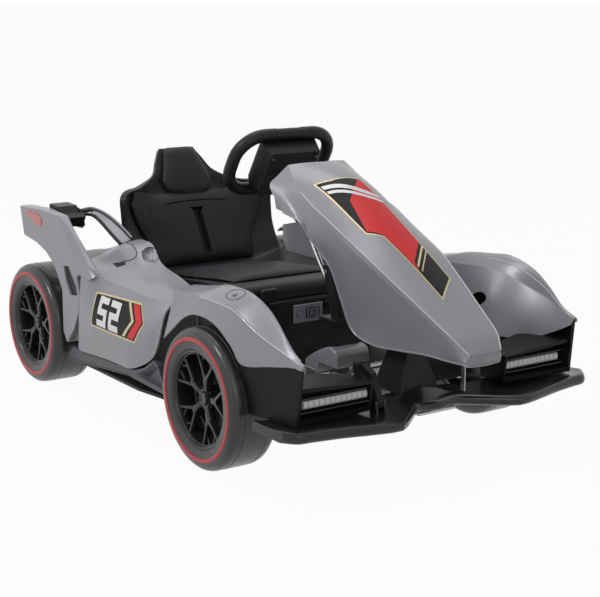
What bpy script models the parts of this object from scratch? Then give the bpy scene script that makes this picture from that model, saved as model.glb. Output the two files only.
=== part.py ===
"""Electric ride-on go-kart for a child, in metres, +Z up, wheels on z = 0.

The nose points to -Y and the driver's left is +X. Every place in this file is measured from the
middle of the front axle line on the ground; one empty then moves the whole kart, so that the world
origin lies under the middle of its length.
"""

import math

import bmesh
import bpy
from mathutils import Vector

# Driving dimensions
WHEELBASE = 0.7116
FRONT_AXLE_Y = -0.2427
WHEEL_RADIUS = 0.130
WHEEL_WIDTH = 0.100
WHEEL_X = 0.3075
WHEEL_SIDES = 20
RIM_RADIUS = 0.0905
SPOKES = 5
SHELL = 0.003
GAP = 0.0004

# Steering
KINGPIN_X = 0.235
STEER_ARM = 0.050
CRANK = 0.043
RIM_CENTRE = Vector((0.0, 0.267, 0.505))
RIM_TILT = 0.575
SHAFT_FOOT = Vector((0.0, -0.0144, 0.1454))
SHAFT_AXIS = (RIM_CENTRE - SHAFT_FOOT).normalized()
SHAFT_RADIUS = 0.006
GRIP_RADIUS = 0.010

# Seat
SEAT_PIVOT = Vector((0.0, 0.600, 0.236))
SEAT_WALL = 0.012
PAD = 0.010

SILVER = (0.30, 0.30, 0.335, 1.0)
BLACK = (0.015, 0.015, 0.019, 1.0)
DARK_GREY = (0.10, 0.10, 0.115, 1.0)
STEEL = (0.42, 0.42, 0.43, 1.0)
LIGHT_GREY = (0.40, 0.40, 0.44, 1.0)


def clear_scene():
    for thing in list(bpy.data.objects):
        bpy.data.objects.remove(thing, do_unlink=True)


def finish(name, colour, roughness, metallic=0.0):
    made = bpy.data.materials.new(name)
    made.use_nodes = True
    shader = made.node_tree.nodes["Principled BSDF"]
    shader.inputs["Base Color"].default_value = colour
    shader.inputs["Roughness"].default_value = roughness
    shader.inputs["Metallic"].default_value = metallic
    return made


def empty(name, location, parent=None):
    made = bpy.data.objects.new(name, None)
    bpy.context.collection.objects.link(made)
    made.parent = parent
    made.location = location
    return made


def solid(name, points, faces, look, parent, smooth=35.0):
    """One mesh object; its points are given in the kart's frame, whatever its parent."""
    offset = parent.location if parent.parent else Vector((0, 0, 0))
    shape = bpy.data.meshes.new(name)
    shape.from_pydata([Vector(p) - offset for p in points], [], faces)
    work = bmesh.new()
    work.from_mesh(shape)
    bmesh.ops.remove_doubles(work, verts=work.verts, dist=0.00001)
    bmesh.ops.recalc_face_normals(work, faces=work.faces)
    work.to_mesh(shape)
    work.free()
    shape.shade_smooth()
    shape.set_sharp_from_angle(angle=math.radians(smooth))
    made = bpy.data.objects.new(name, shape)
    bpy.context.collection.objects.link(made)
    made.parent = parent
    made.data.materials.append(look)
    return made


def as_tool(tool):
    tool.hide_render = True
    tool.display_type = "WIRE"
    return tool


def combine(body, tool, operation="DIFFERENCE"):
    step = body.modifiers.new(operation.lower(), "BOOLEAN")
    step.operation = operation
    step.solver = "EXACT"
    step.object = as_tool(tool)


def thicken(body, thickness=SHELL, offset=-1.0):
    step = body.modifiers.new("wall", "SOLIDIFY")
    step.thickness = thickness
    step.offset = offset
    step.use_even_offset = False
    step.use_rim = True


def round_edges(body, width, segments=2, angle=35.0):
    step = body.modifiers.new("rounding", "BEVEL")
    step.width = width
    step.segments = segments
    step.limit_method = "ANGLE"
    step.angle_limit = math.radians(angle)
    step.use_clamp_overlap = True


def curve_through(points, steps, corners=()):
    """A smooth line through the points (Catmull-Rom), with steps samples a span and sharp corners."""
    points = [Vector(p) for p in points]
    last = len(points) - 1
    line = []
    for i in range(last):
        start, end = points[i], points[i + 1]
        before = points[i - 1] if i > 0 and i not in corners else start - (end - start)
        after = points[i + 2] if i + 2 <= last and i + 1 not in corners else end + (end - start)
        for step in range(steps):
            t = step / steps
            line.append(0.5 * (2 * start + (end - before) * t
                               + (2 * before - 5 * start + 4 * end - after) * t ** 2
                               + (3 * start - before - 3 * end + after) * t ** 3))
    line.append(points[last])
    return line


def net(ribs, along, across, corners=()):
    """A grid of points from ribs: smoothed first down each rail, then across each rib."""
    rails = [curve_through(rail, along) for rail in zip(*ribs)]
    return [curve_through(rib, across, corners) for rib in zip(*rails)]


def grid_faces(rows, columns, first=0):
    return [(first + r * columns + c, first + r * columns + c + 1,
             first + (r + 1) * columns + c + 1, first + (r + 1) * columns + c)
            for r in range(rows - 1) for c in range(columns - 1)]


def skin(name, grid, look, parent, wall=SHELL, outward=None, smooth=35.0):
    """A moulded shell: an open grid of points, thickened on its inner side."""
    points = [p for row in grid for p in row]
    body = solid(name, points, grid_faces(len(grid), len(grid[0])), look, parent, smooth)
    if outward is not None:
        middle = body.data.polygons[len(body.data.polygons) // 2]
        if middle.normal.dot(Vector(outward)) < 0:
            body.data.flip_normals()
    thicken(body, wall)
    return body


def loft(name, rings, look, parent, smooth=35.0):
    """A closed solid through rings of points, with a flat cap at each end."""
    count = len(rings[0])
    points = [p for ring in rings for p in ring]
    faces = []
    for r in range(len(rings) - 1):
        for i in range(count):
            j = (i + 1) % count
            faces.append((r * count + i, r * count + j, (r + 1) * count + j, (r + 1) * count + i))
    faces.append(tuple(range(count)))
    faces.append(tuple((len(rings) - 1) * count + i for i in range(count)))
    return solid(name, points, faces, look, parent, smooth)


def hoop(name, rings, look, parent, smooth=35.0):
    """A closed ring-shaped solid: the last ring of points joins the first."""
    count = len(rings[0])
    total = len(rings)
    points = [p for ring in rings for p in ring]
    faces = []
    for r in range(total):
        s = (r + 1) % total
        for i in range(count):
            j = (i + 1) % count
            faces.append((r * count + i, r * count + j, s * count + j, s * count + i))
    return solid(name, points, faces, look, parent, smooth)


def turned(name, profile, centre, look, parent, sides=WHEEL_SIDES):
    """Revolve a closed profile of (offset along +X, radius) about the X axis through centre."""
    rings = []
    for k in range(sides):
        turn = 2 * math.pi * (k + 0.5) / sides
        rings.append([Vector((centre[0] + x, centre[1] + r * math.sin(turn),
                              centre[2] + r * math.cos(turn))) for x, r in profile])
    return hoop(name, rings, look, parent)


def circle(centre, axis, radius, sides, squash=1.0):
    """A ring of points about centre, square to axis; squash scales it along its second direction."""
    axis = Vector(axis).normalized()
    side = Vector((1, 0, 0)) if abs(axis.x) < 0.9 else Vector((0, 1, 0))
    second = axis.cross(side).normalized()
    first = second.cross(axis)
    ring = []
    for k in range(sides):
        turn = 2 * math.pi * (k + 0.5) / sides
        ring.append(Vector(centre) + first * radius * math.cos(turn)
                    + second * radius * squash * math.sin(turn))
    return ring


def rod(name, start, end, radius, look, parent, sides=12, end_radius=None):
    axis = Vector(end) - Vector(start)
    rings = [circle(start, axis, radius, sides), circle(end, axis, end_radius or radius, sides)]
    return loft(name, rings, look, parent)


def bent_tube(name, path, radius, look, parent, sides=8):
    """A tube along a path of points."""
    path = [Vector(p) for p in path]
    rings = []
    for i, place in enumerate(path):
        ahead = path[min(i + 1, len(path) - 1)] - path[max(i - 1, 0)]
        rings.append(circle(place, ahead, radius, sides))
    return loft(name, rings, look, parent)


def slab(name, outline, axis, low, high, look, parent, smooth=35.0):
    """Extrude a flat outline along X (outline in y, z), Y (x, z) or Z (x, y)."""
    def place(point, level):
        a, b = point
        return {"X": (level, a, b), "Y": (a, level, b), "Z": (a, b, level)}[axis]
    rings = [[Vector(place(p, level)) for p in outline] for level in (low, high)]
    return loft(name, rings, look, parent, smooth)


def block(name, low, high, look, parent, rounding=0.0, segments=1):
    outline = [(low[1], low[2]), (high[1], low[2]), (high[1], high[2]), (low[1], high[2])]
    made = slab(name, outline, "X", low[0], high[0], look, parent)
    if rounding:
        round_edges(made, rounding, segments)
    return made


def mirrored(points):
    return [Vector((-p[0], p[1], p[2])) for p in points]


def sided(points, side):
    """Points drawn for the driver's left, moved to the other side when side is -1."""
    return [Vector((side * p[0], p[1], p[2])) for p in points]


def arch(radius, degrees, x):
    """A point on the wheel arch of a front wheel, degrees up from straight back."""
    turn = math.radians(degrees)
    return (x, radius * math.cos(turn), WHEEL_RADIUS + radius * math.sin(turn))


clear_scene()
KART = empty("kart", (0.0, FRONT_AXLE_Y, 0.0))
SIDES = (("left", 1), ("right", -1))
silver = finish("silver_plastic", SILVER, 0.30, 0.35)
black = finish("black_plastic", BLACK, 0.45)
gloss = finish("gloss_black_plastic", BLACK, 0.15)
grey = finish("dark_grey_plastic", DARK_GREY, 0.5)
steel = finish("steel", STEEL, 0.35, 1.0)
rubber = finish("tyre_plastic", (0.012, 0.012, 0.013, 1.0), 0.7)
vinyl = finish("seat_vinyl", (0.02, 0.02, 0.025, 1.0), 0.55)
pale = finish("light_grey_plastic", LIGHT_GREY, 0.45)
red = finish("red_lens", (0.55, 0.02, 0.02, 1.0), 0.2)
clear = finish("clear_lens", (0.75, 0.75, 0.78, 1.0), 0.25)


def make_wheel(name, y, side):
    """A moulded tyre on a rim cover with a barrel, a web, a hub boss and split spokes."""
    centre = Vector((side * WHEEL_X, y, WHEEL_RADIUS))
    spin = empty("spin_" + name, centre, KART)
    full = WHEEL_RADIUS / math.cos(math.pi / WHEEL_SIDES)
    half = WHEEL_WIDTH / 2
    tread = [(-half, 0.0905), (-half, 0.111), (-0.046, 0.1235), (-0.036, full), (0.036, full),
             (0.046, 0.1240), (half, 0.1130), (0.047, 0.0990), (0.044, 0.0905), (0.039, 0.0905),
             (0.044, 0.1120), (0.034, 0.1250), (-0.034, 0.1250), (-0.045, 0.1100), (-0.045, 0.0905)]
    bore = RIM_RADIUS - 0.0005
    dish = [(-0.045, bore), (-0.045, 0.083), (-0.002, 0.079), (-0.002, 0.022), (-0.045, 0.020),
            (-0.045, 0.0068), (0.032, 0.0068), (0.032, 0.017), (0.004, 0.022), (0.004, 0.078),
            (0.034, 0.081), (0.0415, 0.0845), (0.0415, bore)]
    turned("tyre_" + name, [(side * x, r) for x, r in tread], centre, rubber, spin)
    body = turned("rim_" + name, [(side * x, r) for x, r in dish], centre, gloss, spin)
    plug = rod("hub_cap_" + name, centre + Vector((side * 0.024, 0, 0)),
               centre + Vector((side * 0.0345, 0, 0)), 0.011, gloss, spin, 10)
    combine(body, plug, "UNION")
    for k in range(SPOKES):
        turn = 2 * math.pi * k / SPOKES
        combine(body, make_spoke(f"spoke_{name}_{k}", centre, side, turn, spin), "UNION")


def make_spoke(name, centre, side, turn, parent):
    """A split spoke: one stem from the hub that forks into two arms to the barrel."""
    outline = [(-0.0075, 0.017), (-0.0085, 0.042), (-0.029, 0.077), (-0.017, 0.0815),
               (0.0, 0.052), (0.017, 0.0815), (0.029, 0.077), (0.0085, 0.042), (0.0075, 0.017)]
    rings = []
    for depth, lift in ((0.018, 1.0), (0.036, 0.72)):
        ring = []
        for a, r in outline:
            a *= lift
            out = depth if r > 0.05 else depth - 0.006
            ring.append(centre + Vector((side * out, a * math.cos(turn) - r * math.sin(turn),
                                         a * math.sin(turn) + r * math.cos(turn))))
        rings.append(ring)
    return loft(name, rings, gloss, parent)


for label, side in SIDES:
    make_wheel("front_" + label, 0.0, side)
    make_wheel("rear_" + label, WHEELBASE, side)


# Bonnet ribs from the cockpit to the nose: crown, shoulder, crease, flank and lower edge
BONNET = [
    [(0, .100, .525), (.050, .100, .524), (.092, .100, .516), (.116, .100, .503), (.133, .100, .483)],
    [(0, .060, .517), (.048, .058, .508), (.090, .064, .474), (.115, .075, .468), (.131, .090, .460)],
    [(0, .010, .486), (.046, .008, .475), (.086, .005, .440), (.108, .015, .430), (.124, .020, .427)],
    [(0, -.050, .449), (.043, -.050, .439), (.083, -.050, .410), (.105, -.050, .390), (.117, -.05, .371)],
    [(0, -.090, .424), (.040, -.090, .415), (.080, -.090, .390), (.102, -.090, .355), (.110, -.09, .315)],
    [(0, -.120, .405), (.039, -.120, .397), (.077, -.118, .376), (.098, -.115, .320), (.100, -.113, .253)],
    [(0, -.160, .380), (.037, -.158, .375), (.073, -.155, .357), (.094, -.150, .300), (.094, -.142, .236)],
    [(0, -.210, .348), (.034, -.208, .344), (.066, -.205, .329), (.087, -.200, .285), (.088, -.195, .234)],
    [(0, -.270, .309), (.029, -.268, .307), (.057, -.262, .297), (.074, -.260, .265), (.076, -.262, .231)],
    [(0, -.318, .273), (.023, -.315, .273), (.046, -.308, .270), (.060, -.310, .248), (.058, -.312, .227)],
    [(0, -.345, .247), (.018, -.343, .249), (.036, -.336, .250), (.047, -.333, .236), (.044, -.332, .223)],
    [(0, -.3535, .230), (.015, -.352, .231), (.030, -.349, .232), (.035, -.346, .226), (.033, -.344, .219)],
]


def whole_rib(half):
    """Both halves of a rib, from the right edge over the crown to the left edge."""
    return mirrored(half[:0:-1]) + [Vector(p) for p in half]


bonnet = skin("hood", net([whole_rib(r) for r in BONNET], 2, 1), silver, KART,
              outward=(0, 0, 1), smooth=28)

# Front fender rails per rib: arch lip, outer crease, ridge, inner crease, inner lower edge
FENDER = [
    [(.3405, .1385, .213), (.330, .1102, .307), (.270, .1492, .3025), (.238, .1940, .291), (.228, .196, .215)],
    [arch(.15, 67, .340), (.331, .050, .311), (.268, .060, .317), (.248, .065, .305), (.206, .065, .205)],
    [arch(.15, 90, .340), (.331, .000, .313), (.282, .010, .329), (.257, .000, .309), (.200, .000, .200)],
    [arch(.15, 110, .340), (.331, -.050, .3125), (.291, -.045, .334), (.265, -.055, .311), (.200, -.05, .197)],
    [arch(.15, 130, .339), (.330, -.095, .309), (.300, -.100, .335), (.275, -.100, .306), (.200, -.10, .195)],
    [(.336, -.126, .219), (.3235, -.155, .283), (.302, -.155, .320), (.287, -.145, .288), (.200, -.15, .194)],
    [(.322, -.190, .228), (.315, -.210, .262), (.303, -.195, .295), (.297, -.195, .272), (.203, -.190, .196)],
    [(.312, -.235, .235), (.310, -.242, .250), (.304, -.232, .262), (.301, -.235, .253), (.236, -.228, .222)],
    [(.3100, -.268, .236), (.3095, -.268, .2425), (.306, -.268, .2445), (.302, -.266, .2425), (.298, -.263, .2325)],
]


def make_fender(label, side):
    ribs = [sided(rib, side) for rib in FENDER]
    shell = skin("fender_" + label, net(ribs, 2, 2, (1, 3)), silver, KART, outward=(0, 0, 1), smooth=28)
    vent = [circle((side * x, -0.075, 0.245), (1, 0, 0), 0.0225, 12, 0.66) for x in (0.15, 0.285)]
    combine(shell, loft("vent_" + label, vent, silver, KART))


# Side body ribs: lower edge, flank, crease, top, pod shoulder, pod crown, inner wall foot
SIDE_BODY = [
    [(.341, .1500, .222), (.338, .1335, .262), (.332, .1130, .302), (.290, .138, .3035),
     (.262, .163, .3015), (.240, .1975, .292), (.230, .200, .215)],
    [(.331, .200, .160), (.343, .200, .215), (.329, .200, .284), (.290, .200, .296),
     (.260, .205, .296), (.236, .214, .290), (.228, .214, .110)],
    [(.334, .280, .122), (.345, .280, .200), (.327, .280, .279), (.285, .280, .293),
     (.250, .280, .2965), (.226, .280, .297), (.222, .280, .088)],
    [(.335, .360, .118), (.346, .360, .198), (.3245, .360, .277), (.280, .360, .293),
     (.245, .360, .300), (.215, .360, .305), (.212, .360, .088)],
    [(.335, .410, .115), (.346, .405, .196), (.322, .405, .2775), (.280, .405, .294),
     (.248, .405, .318), (.207, .405, .325), (.206, .405, .088)],
    [(.336, .450, .114), (.346, .435, .195), (.321, .445, .278), (.280, .455, .295),
     (.250, .455, .324), (.202, .455, .332), (.204, .455, .088)],
    [(.338, .500, .112), (.3455, .452, .200), (.319, .470, .279), (.280, .500, .296),
     (.248, .505, .320), (.202, .510, .328), (.204, .510, .088)],
    [(.3395, .535, .115), (.3450, .459, .215), (.316, .488, .280), (.280, .535, .2945),
     (.246, .545, .300), (.204, .560, .318), (.205, .560, .088)],
]

FIN = [(.440, .270), (.423, .287), (.440, .295), (.483, .331), (.537, .365), (.567, .385), (.670, .386),
       (.773, .381), (.757, .318), (.690, .310), (.645, .297), (.616, .281), (.593, .259), (.571, .228),
       (.572, .140), (.556, .117), (.520, .152), (.496, .190), (.487, .226), (.500, .264), (.490, .272)]
FIN_INNER = 0.314
FIN_OUTER = 0.343
LAMP = [(.6600, .3500), (.6700, .3475), (.7380, .3640), (.7360, .3770), (.6720, .3740), (.6600, .3640)]


def scaled(outline, grow):
    """A flat outline grown about its middle by a distance that suits small, round shapes."""
    middle = Vector((sum(p[0] for p in outline), sum(p[1] for p in outline))) / len(outline)
    ring = []
    for p in outline:
        arm = Vector(p) - middle
        ring.append(tuple(middle + arm * (1 + grow / arm.length)))
    return ring


def make_side_body(label, side):
    """Side body with its intake pod, the shelf behind it and the swept rear fin."""
    ribs = [sided(rib, side) for rib in SIDE_BODY]
    shell = skin("side_body_" + label, net(ribs, 2, 1), silver, KART, outward=(0, 0, 1), smooth=28)
    shelf = [[(.300, .520, .2925), (.262, .520, .2935), (.206, .520, .3180)],
             [(.309, .560, .3020), (.262, .555, .3000), (.206, .565, .3120)],
             [(.309, .585, .3030), (.262, .590, .3060), (.212, .595, .2990)]]
    shelf = skin("shelf_" + label, net([sided(r, side) for r in shelf], 2, 2), silver, KART, 0.004,
                 outward=(0, 0, 1))
    combine(shell, shelf, "UNION")
    fin = slab("fin_" + label, FIN, "X", side * FIN_INNER, side * FIN_OUTER, silver, KART)
    round_edges(fin, 0.003, 1)
    combine(shell, fin, "UNION")
    pocket = slab("lamp_pocket_" + label, scaled(LAMP, GAP), "X", side * (FIN_OUTER - 0.006),
                  side * (FIN_OUTER + 0.01), silver, KART)
    combine(shell, pocket)
    slot = [(.554, .276), (.512, .236), (.526, .232), (.556, .256)]
    combine(shell, slab("slot_" + label, slot, "X", side * 0.30, side * 0.36, silver, KART))
    slab("tail_light_" + label, LAMP, "X", side * (FIN_OUTER - 0.0055), side * (FIN_OUTER + 0.0015),
         red, KART)


def make_roll_strut(label, side):
    """Arched strut from the pod to a winglet with an end plate."""
    path = [(.222, .512, .3345), (.224, .530, .3500), (.236, .562, .3680), (.252, .600, .3790),
            (.262, .640, .3800)]
    rings = []
    line = curve_through(path, 2)
    for i, place in enumerate(line):
        ahead = (line[min(i + 1, len(line) - 1)] - line[max(i - 1, 0)]).normalized()
        rise = Vector((1, 0, 0)).cross(ahead).normalized()
        wide = 0.016 if i < 6 else 0.018
        ring = [place + Vector((a * wide, 0, 0)) + rise * b * 0.004
                for a, b in ((-1, -1), (1, -1), (1, 1), (-1, 1))]
        rings.append(sided(ring, side))
    strut = loft("roll_strut_" + label, rings, black, KART)
    wing = [(.612, .3745), (.640, .3700), (.690, .3740), (.690, .3780), (.640, .3850), (.615, .3850)]
    wing = slab("winglet_" + label, wing, "X", side * 0.240, side * (FIN_INNER - GAP), black, KART)
    combine(strut, wing, "UNION")
    plate = [(.605, .3860), (.602, .3740), (.622, .3480), (.665, .3460), (.684, .3790)]
    plate = slab("end_plate_" + label, plate, "X", side * 0.238, side * 0.243, black, KART)
    combine(strut, plate, "UNION")


SKIRT = [(.152, .0970), (.303, .1020), (.578, .0745), (.572, .0880), (.552, .1085), (.500, .1080),
         (.435, .1105), (.360, .1140), (.280, .1180), (.235, .1330), (.198, .1560), (.182, .1500),
         (.168, .1280)]


def make_skirt(label, side):
    body = slab("skirt_" + label, SKIRT, "X", side * 0.3180, side * 0.3310, grey, KART)
    round_edges(body, 0.0025, 1)


# Headlight housing corners in plan and height, top then bottom, from the outer rear corner forward
HOUSING_TOP = [(.3300, -.1520, .2205), (.3070, -.2640, .2325), (.151, -.2500, .1900), (.151, -.181, .1860),
               (.3000, -.1810, .1960), (.3230, -.1560, .2150)]
HOUSING_FOOT = [(.3230, -.1535, .1375), (.3110, -.2530, .1375), (.151, -.2430, .1375), (.151, -.181, .1375),
                (.2980, -.1810, .1375), (.3170, -.1570, .1375)]


def make_headlight(label, side):
    body = loft("headlight_housing_" + label, [sided(HOUSING_FOOT, side), sided(HOUSING_TOP, side)],
                black, KART)
    mouth = [[(.157, -.2330, .152), (.298, -.2330, .152), (.298, -.2330, .188), (.157, -.2330, .184)],
             [(.146, -.2800, .146), (.306, -.2800, .144), (.303, -.2800, .198), (.146, -.2800, .190)]]
    mouth = loft("mouth_" + label, [sided(ring, side) for ring in mouth], black, KART)
    combine(body, mouth)
    lens = [(-.2420, .1625), (-.2334, .1615), (-.2334, .1770), (-.2420, .1760)]
    slab("led_bar_" + label, lens, "X", side * 0.162, side * 0.289, clear, KART)


def make_splitter():
    """Front splitter: a section that follows the leading edge across the kart."""
    edge = [(-.250, 0), (-.246, .05), (-.262, .068), (-.300, .112), (-.315, .130), (-.314, .156),
            (-.305, .197), (-.294, .242), (-.285, .292), (-.286, .326), (-.262, .343)]
    back = [(-.150, 0), (-.150, .05), (-.160, .068), (-.178, .112), (-.178, .130), (-.178, .156),
            (-.178, .197), (-.178, .242), (-.178, .292), (-.178, .326), (-.166, .343)]
    rings = []
    for (front, x), (rear, _) in zip(edge, back):
        low = 0.112 + 0.0155 * x / 0.34
        top = 0.130 + 0.0065 * x / 0.34
        nose = min(0.006, (top - low) / 2.5)
        rings.append([Vector((x, y, z)) for y, z in (
            (rear, low), (rear, top), (front + 0.012, top), (front + 0.002, top - nose / 2),
            (front, low + nose), (front + 0.004, low + nose / 3), (front + 0.012, low))])
    rings = [mirrored(ring) for ring in rings[:0:-1]] + rings
    return loft("splitter", rings, gloss, KART)


def make_front_frame():
    """Cross beam with kingpin forks, two spine rails to the floor pan and a tongue to the nose."""
    beam = block("front_beam", (-.222, -.060, .104), (.222, -.038, .140), steel, KART)
    for label, side in SIDES:
        arms = ((.148, .158), (.096, .106))
        post = block("fork_post_" + label, (side * .205, -.060, .096), (side * .222, -.030, .158), steel, KART)
        combine(beam, post, "UNION")
        for k, (low, high) in enumerate(arms):
            cheek = [(.205, -.058), (.235, -.016), (.248, -.008), (.249, .006), (.235, .014), (.221, .006),
                     (.205, -.010)]
            cheek = [(side * x, y) for x, y in cheek]
            combine(beam, slab(f"cheek_{label}_{k}", cheek, "Z", low, high, steel, KART), "UNION")
        pin = rod("kingpin_" + label, (side * KINGPIN_X, 0, .092), (side * KINGPIN_X, 0, .162), .005,
                  steel, KART, 10)
        combine(beam, pin, "UNION")
        rail = block("rail_" + label, (side * .034, -.055, .086), (side * .056, .197, .1075), steel, KART)
        combine(beam, rail, "UNION")
        channel = block("rail_channel_" + label, (side * .037, -.020, .080), (side * .053, .190, .1045), steel, KART)
        combine(beam, channel)
    tongue = block("tongue", (-.042, -.240, .1070), (.042, -.045, .1115), steel, KART)
    combine(beam, tongue, "UNION")
    combine(beam, block("beam_channel", (-.200, -.057, .090), (.200, -.041, .137), steel, KART))


def make_knuckle(label, side):
    """Sleeve on the kingpin, stub axle outwards, steering arm to the rear with a pin for the tie bar."""
    turn = empty("kingpin_" + label + "_axis", (side * KINGPIN_X, 0, WHEEL_RADIUS), KART)
    place = Vector((side * KINGPIN_X, 0, 0))
    body = rod("knuckle_" + label, place + Vector((0, 0, .1068)), place + Vector((0, 0, .1472)), .012,
               steel, turn, 12)
    stub = rod("stub_" + label, (side * (KINGPIN_X + .0085), 0, WHEEL_RADIUS), (side * .3270, 0, WHEEL_RADIUS),
               .006, steel, turn, 10)
    combine(body, stub, "UNION")
    arm = [(-.009, .004), (.009, .004), (.007, STEER_ARM + .004), (.000, STEER_ARM + .009),
           (-.007, STEER_ARM + .004)]
    arm = slab("arm_" + label, [(side * KINGPIN_X + x, y) for x, y in arm], "Z", .1075, .1145, steel, turn)
    combine(body, arm, "UNION")
    pin = rod("arm_pin_" + label, place + Vector((0, STEER_ARM, .110)), place + Vector((0, STEER_ARM, .127)),
              .004, steel, turn, 8)
    combine(body, pin, "UNION")
    bore = rod("kingpin_bore_" + label, place + Vector((0, 0, .09)), place + Vector((0, 0, .17)), .0058,
               steel, turn, 10)
    combine(body, bore)


def make_tie_bar():
    axis = empty("tie_bar_axis", (KINGPIN_X, STEER_ARM, .119), KART)
    low, high = .1160, .1220
    reach = KINGPIN_X - 0.004
    bar = slab("tie_bar", [(-reach, .045), (-.03, .045), (-.018, .008), (.018, .008), (.03, .045),
                           (reach, .045), (reach, .055), (-reach, .055)], "Z", low, high, steel, axis)
    for label, side in SIDES:
        eye = Vector((side * KINGPIN_X, STEER_ARM, 0))
        loop = rod("eye_" + label, eye + Vector((0, 0, low + .0002)), eye + Vector((0, 0, high - .0002)),
                   .0125, steel, axis, 12)
        combine(bar, loop, "UNION")
    for label, side in SIDES:
        eye = Vector((side * KINGPIN_X, STEER_ARM, 0))
        hole = rod("eye_hole_" + label, eye + Vector((0, 0, .10)), eye + Vector((0, 0, .14)), .0075,
                   steel, axis, 12)
        combine(bar, hole)
    slot = Vector((0, SHAFT_FOOT.y + CRANK * SHAFT_AXIS.z, 0))
    combine(bar, rod("slot", slot + Vector((0, 0, .10)), slot + Vector((0, 0, .14)), .0100, steel, axis, 12))


def make_steering():
    """Shaft with its crank, and the wheel: a rounded square rim round a deep hub."""
    turn = empty("steering_axis", RIM_CENTRE, KART)
    across = Vector((1, 0, 0))
    up = Vector((0, -math.sin(RIM_TILT), math.cos(RIM_TILT)))
    face = Vector((0, math.cos(RIM_TILT), math.sin(RIM_TILT)))

    def at(a, b, c):
        return RIM_CENTRE + across * a + up * b + face * c

    half_wide, half_high, corner = 0.110, 0.067, 0.052
    line = []
    for sx, sy, start in ((1, 1, 0), (-1, 1, 90), (-1, -1, 180), (1, -1, 270)):
        for k in range(5):
            angle = math.radians(start + 22.5 * k)
            line.append((sx * (half_wide - corner) + corner * math.cos(angle),
                         sy * (half_high - corner) + corner * math.sin(angle)))
    rings = []
    for i, (a, b) in enumerate(line):
        before, after = line[i - 1], line[(i + 1) % len(line)]
        out = Vector((after[1] - before[1], before[0] - after[0])).normalized()
        ring = []
        for k in range(8):
            angle = 2 * math.pi * (k + 0.5) / 8
            ring.append(at(a + out.x * GRIP_RADIUS * math.cos(angle),
                           b + out.y * GRIP_RADIUS * math.cos(angle), GRIP_RADIUS * math.sin(angle)))
        rings.append(ring)
    hoop("steering_rim", rings, black, turn)

    front = [(-.040, -.050), (.040, -.050), (.048, -.030), (.048, .042), (-.048, .042), (-.048, -.030)]
    back = [(-.056, -.0562), (.056, -.0562), (.067, -.038), (.067, .0558), (-.067, .0558), (-.067, -.038)]
    hub = loft("steering_hub", [[at(a, b, -.045) for a, b in front], [at(a, b, -.004) for a, b in back],
                                [at(a * .93, b * .9, .006) for a, b in back]], black, turn)
    combine(hub, rod("shaft_socket", RIM_CENTRE - SHAFT_AXIS * .08, RIM_CENTRE - SHAFT_AXIS * .018,
                     SHAFT_RADIUS + .0005, black, turn))
    for name, a in (("horn_button", -.034), ("music_button", .034)):
        combine(hub, rod(name + "_pocket", at(a, .012, -.002), at(a, .012, .02), .0096, black, turn))
        push = empty(name + "_axis", at(a, .012, .006) - RIM_CENTRE, turn)
        cap = rod(name, at(a, .012, .0005), at(a, .012, .0085), .009, pale, turn)
        cap.parent = push
        cap.location = -push.location

    shaft = rod("steering_shaft", SHAFT_FOOT - SHAFT_AXIS * .004, RIM_CENTRE - SHAFT_AXIS * .020,
                SHAFT_RADIUS, steel, turn)
    reach = SHAFT_AXIS.cross(across).normalized()
    if reach.z > 0:
        reach.negate()
    tip = SHAFT_FOOT + reach * CRANK
    web = [[SHAFT_FOOT + across * a - reach * .006 + SHAFT_AXIS * b for a, b in
            ((-.008, -.003), (.008, -.003), (.008, .003), (-.008, .003))],
           [tip + across * a + SHAFT_AXIS * b for a, b in
            ((-.004, -.0025), (.004, -.0025), (.004, .0025), (-.004, .0025))]]
    combine(shaft, loft("crank", web, steel, turn), "UNION")
    combine(shaft, rod("crank_pin", tip + Vector((0, 0, .005)), tip - Vector((0, 0, .008)), .0045,
                       steel, turn, 8), "UNION")


def on_shaft(z):
    """The point of the steering axis at height z."""
    return SHAFT_FOOT + SHAFT_AXIS * ((z - SHAFT_FOOT.z) / SHAFT_AXIS.z)


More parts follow.
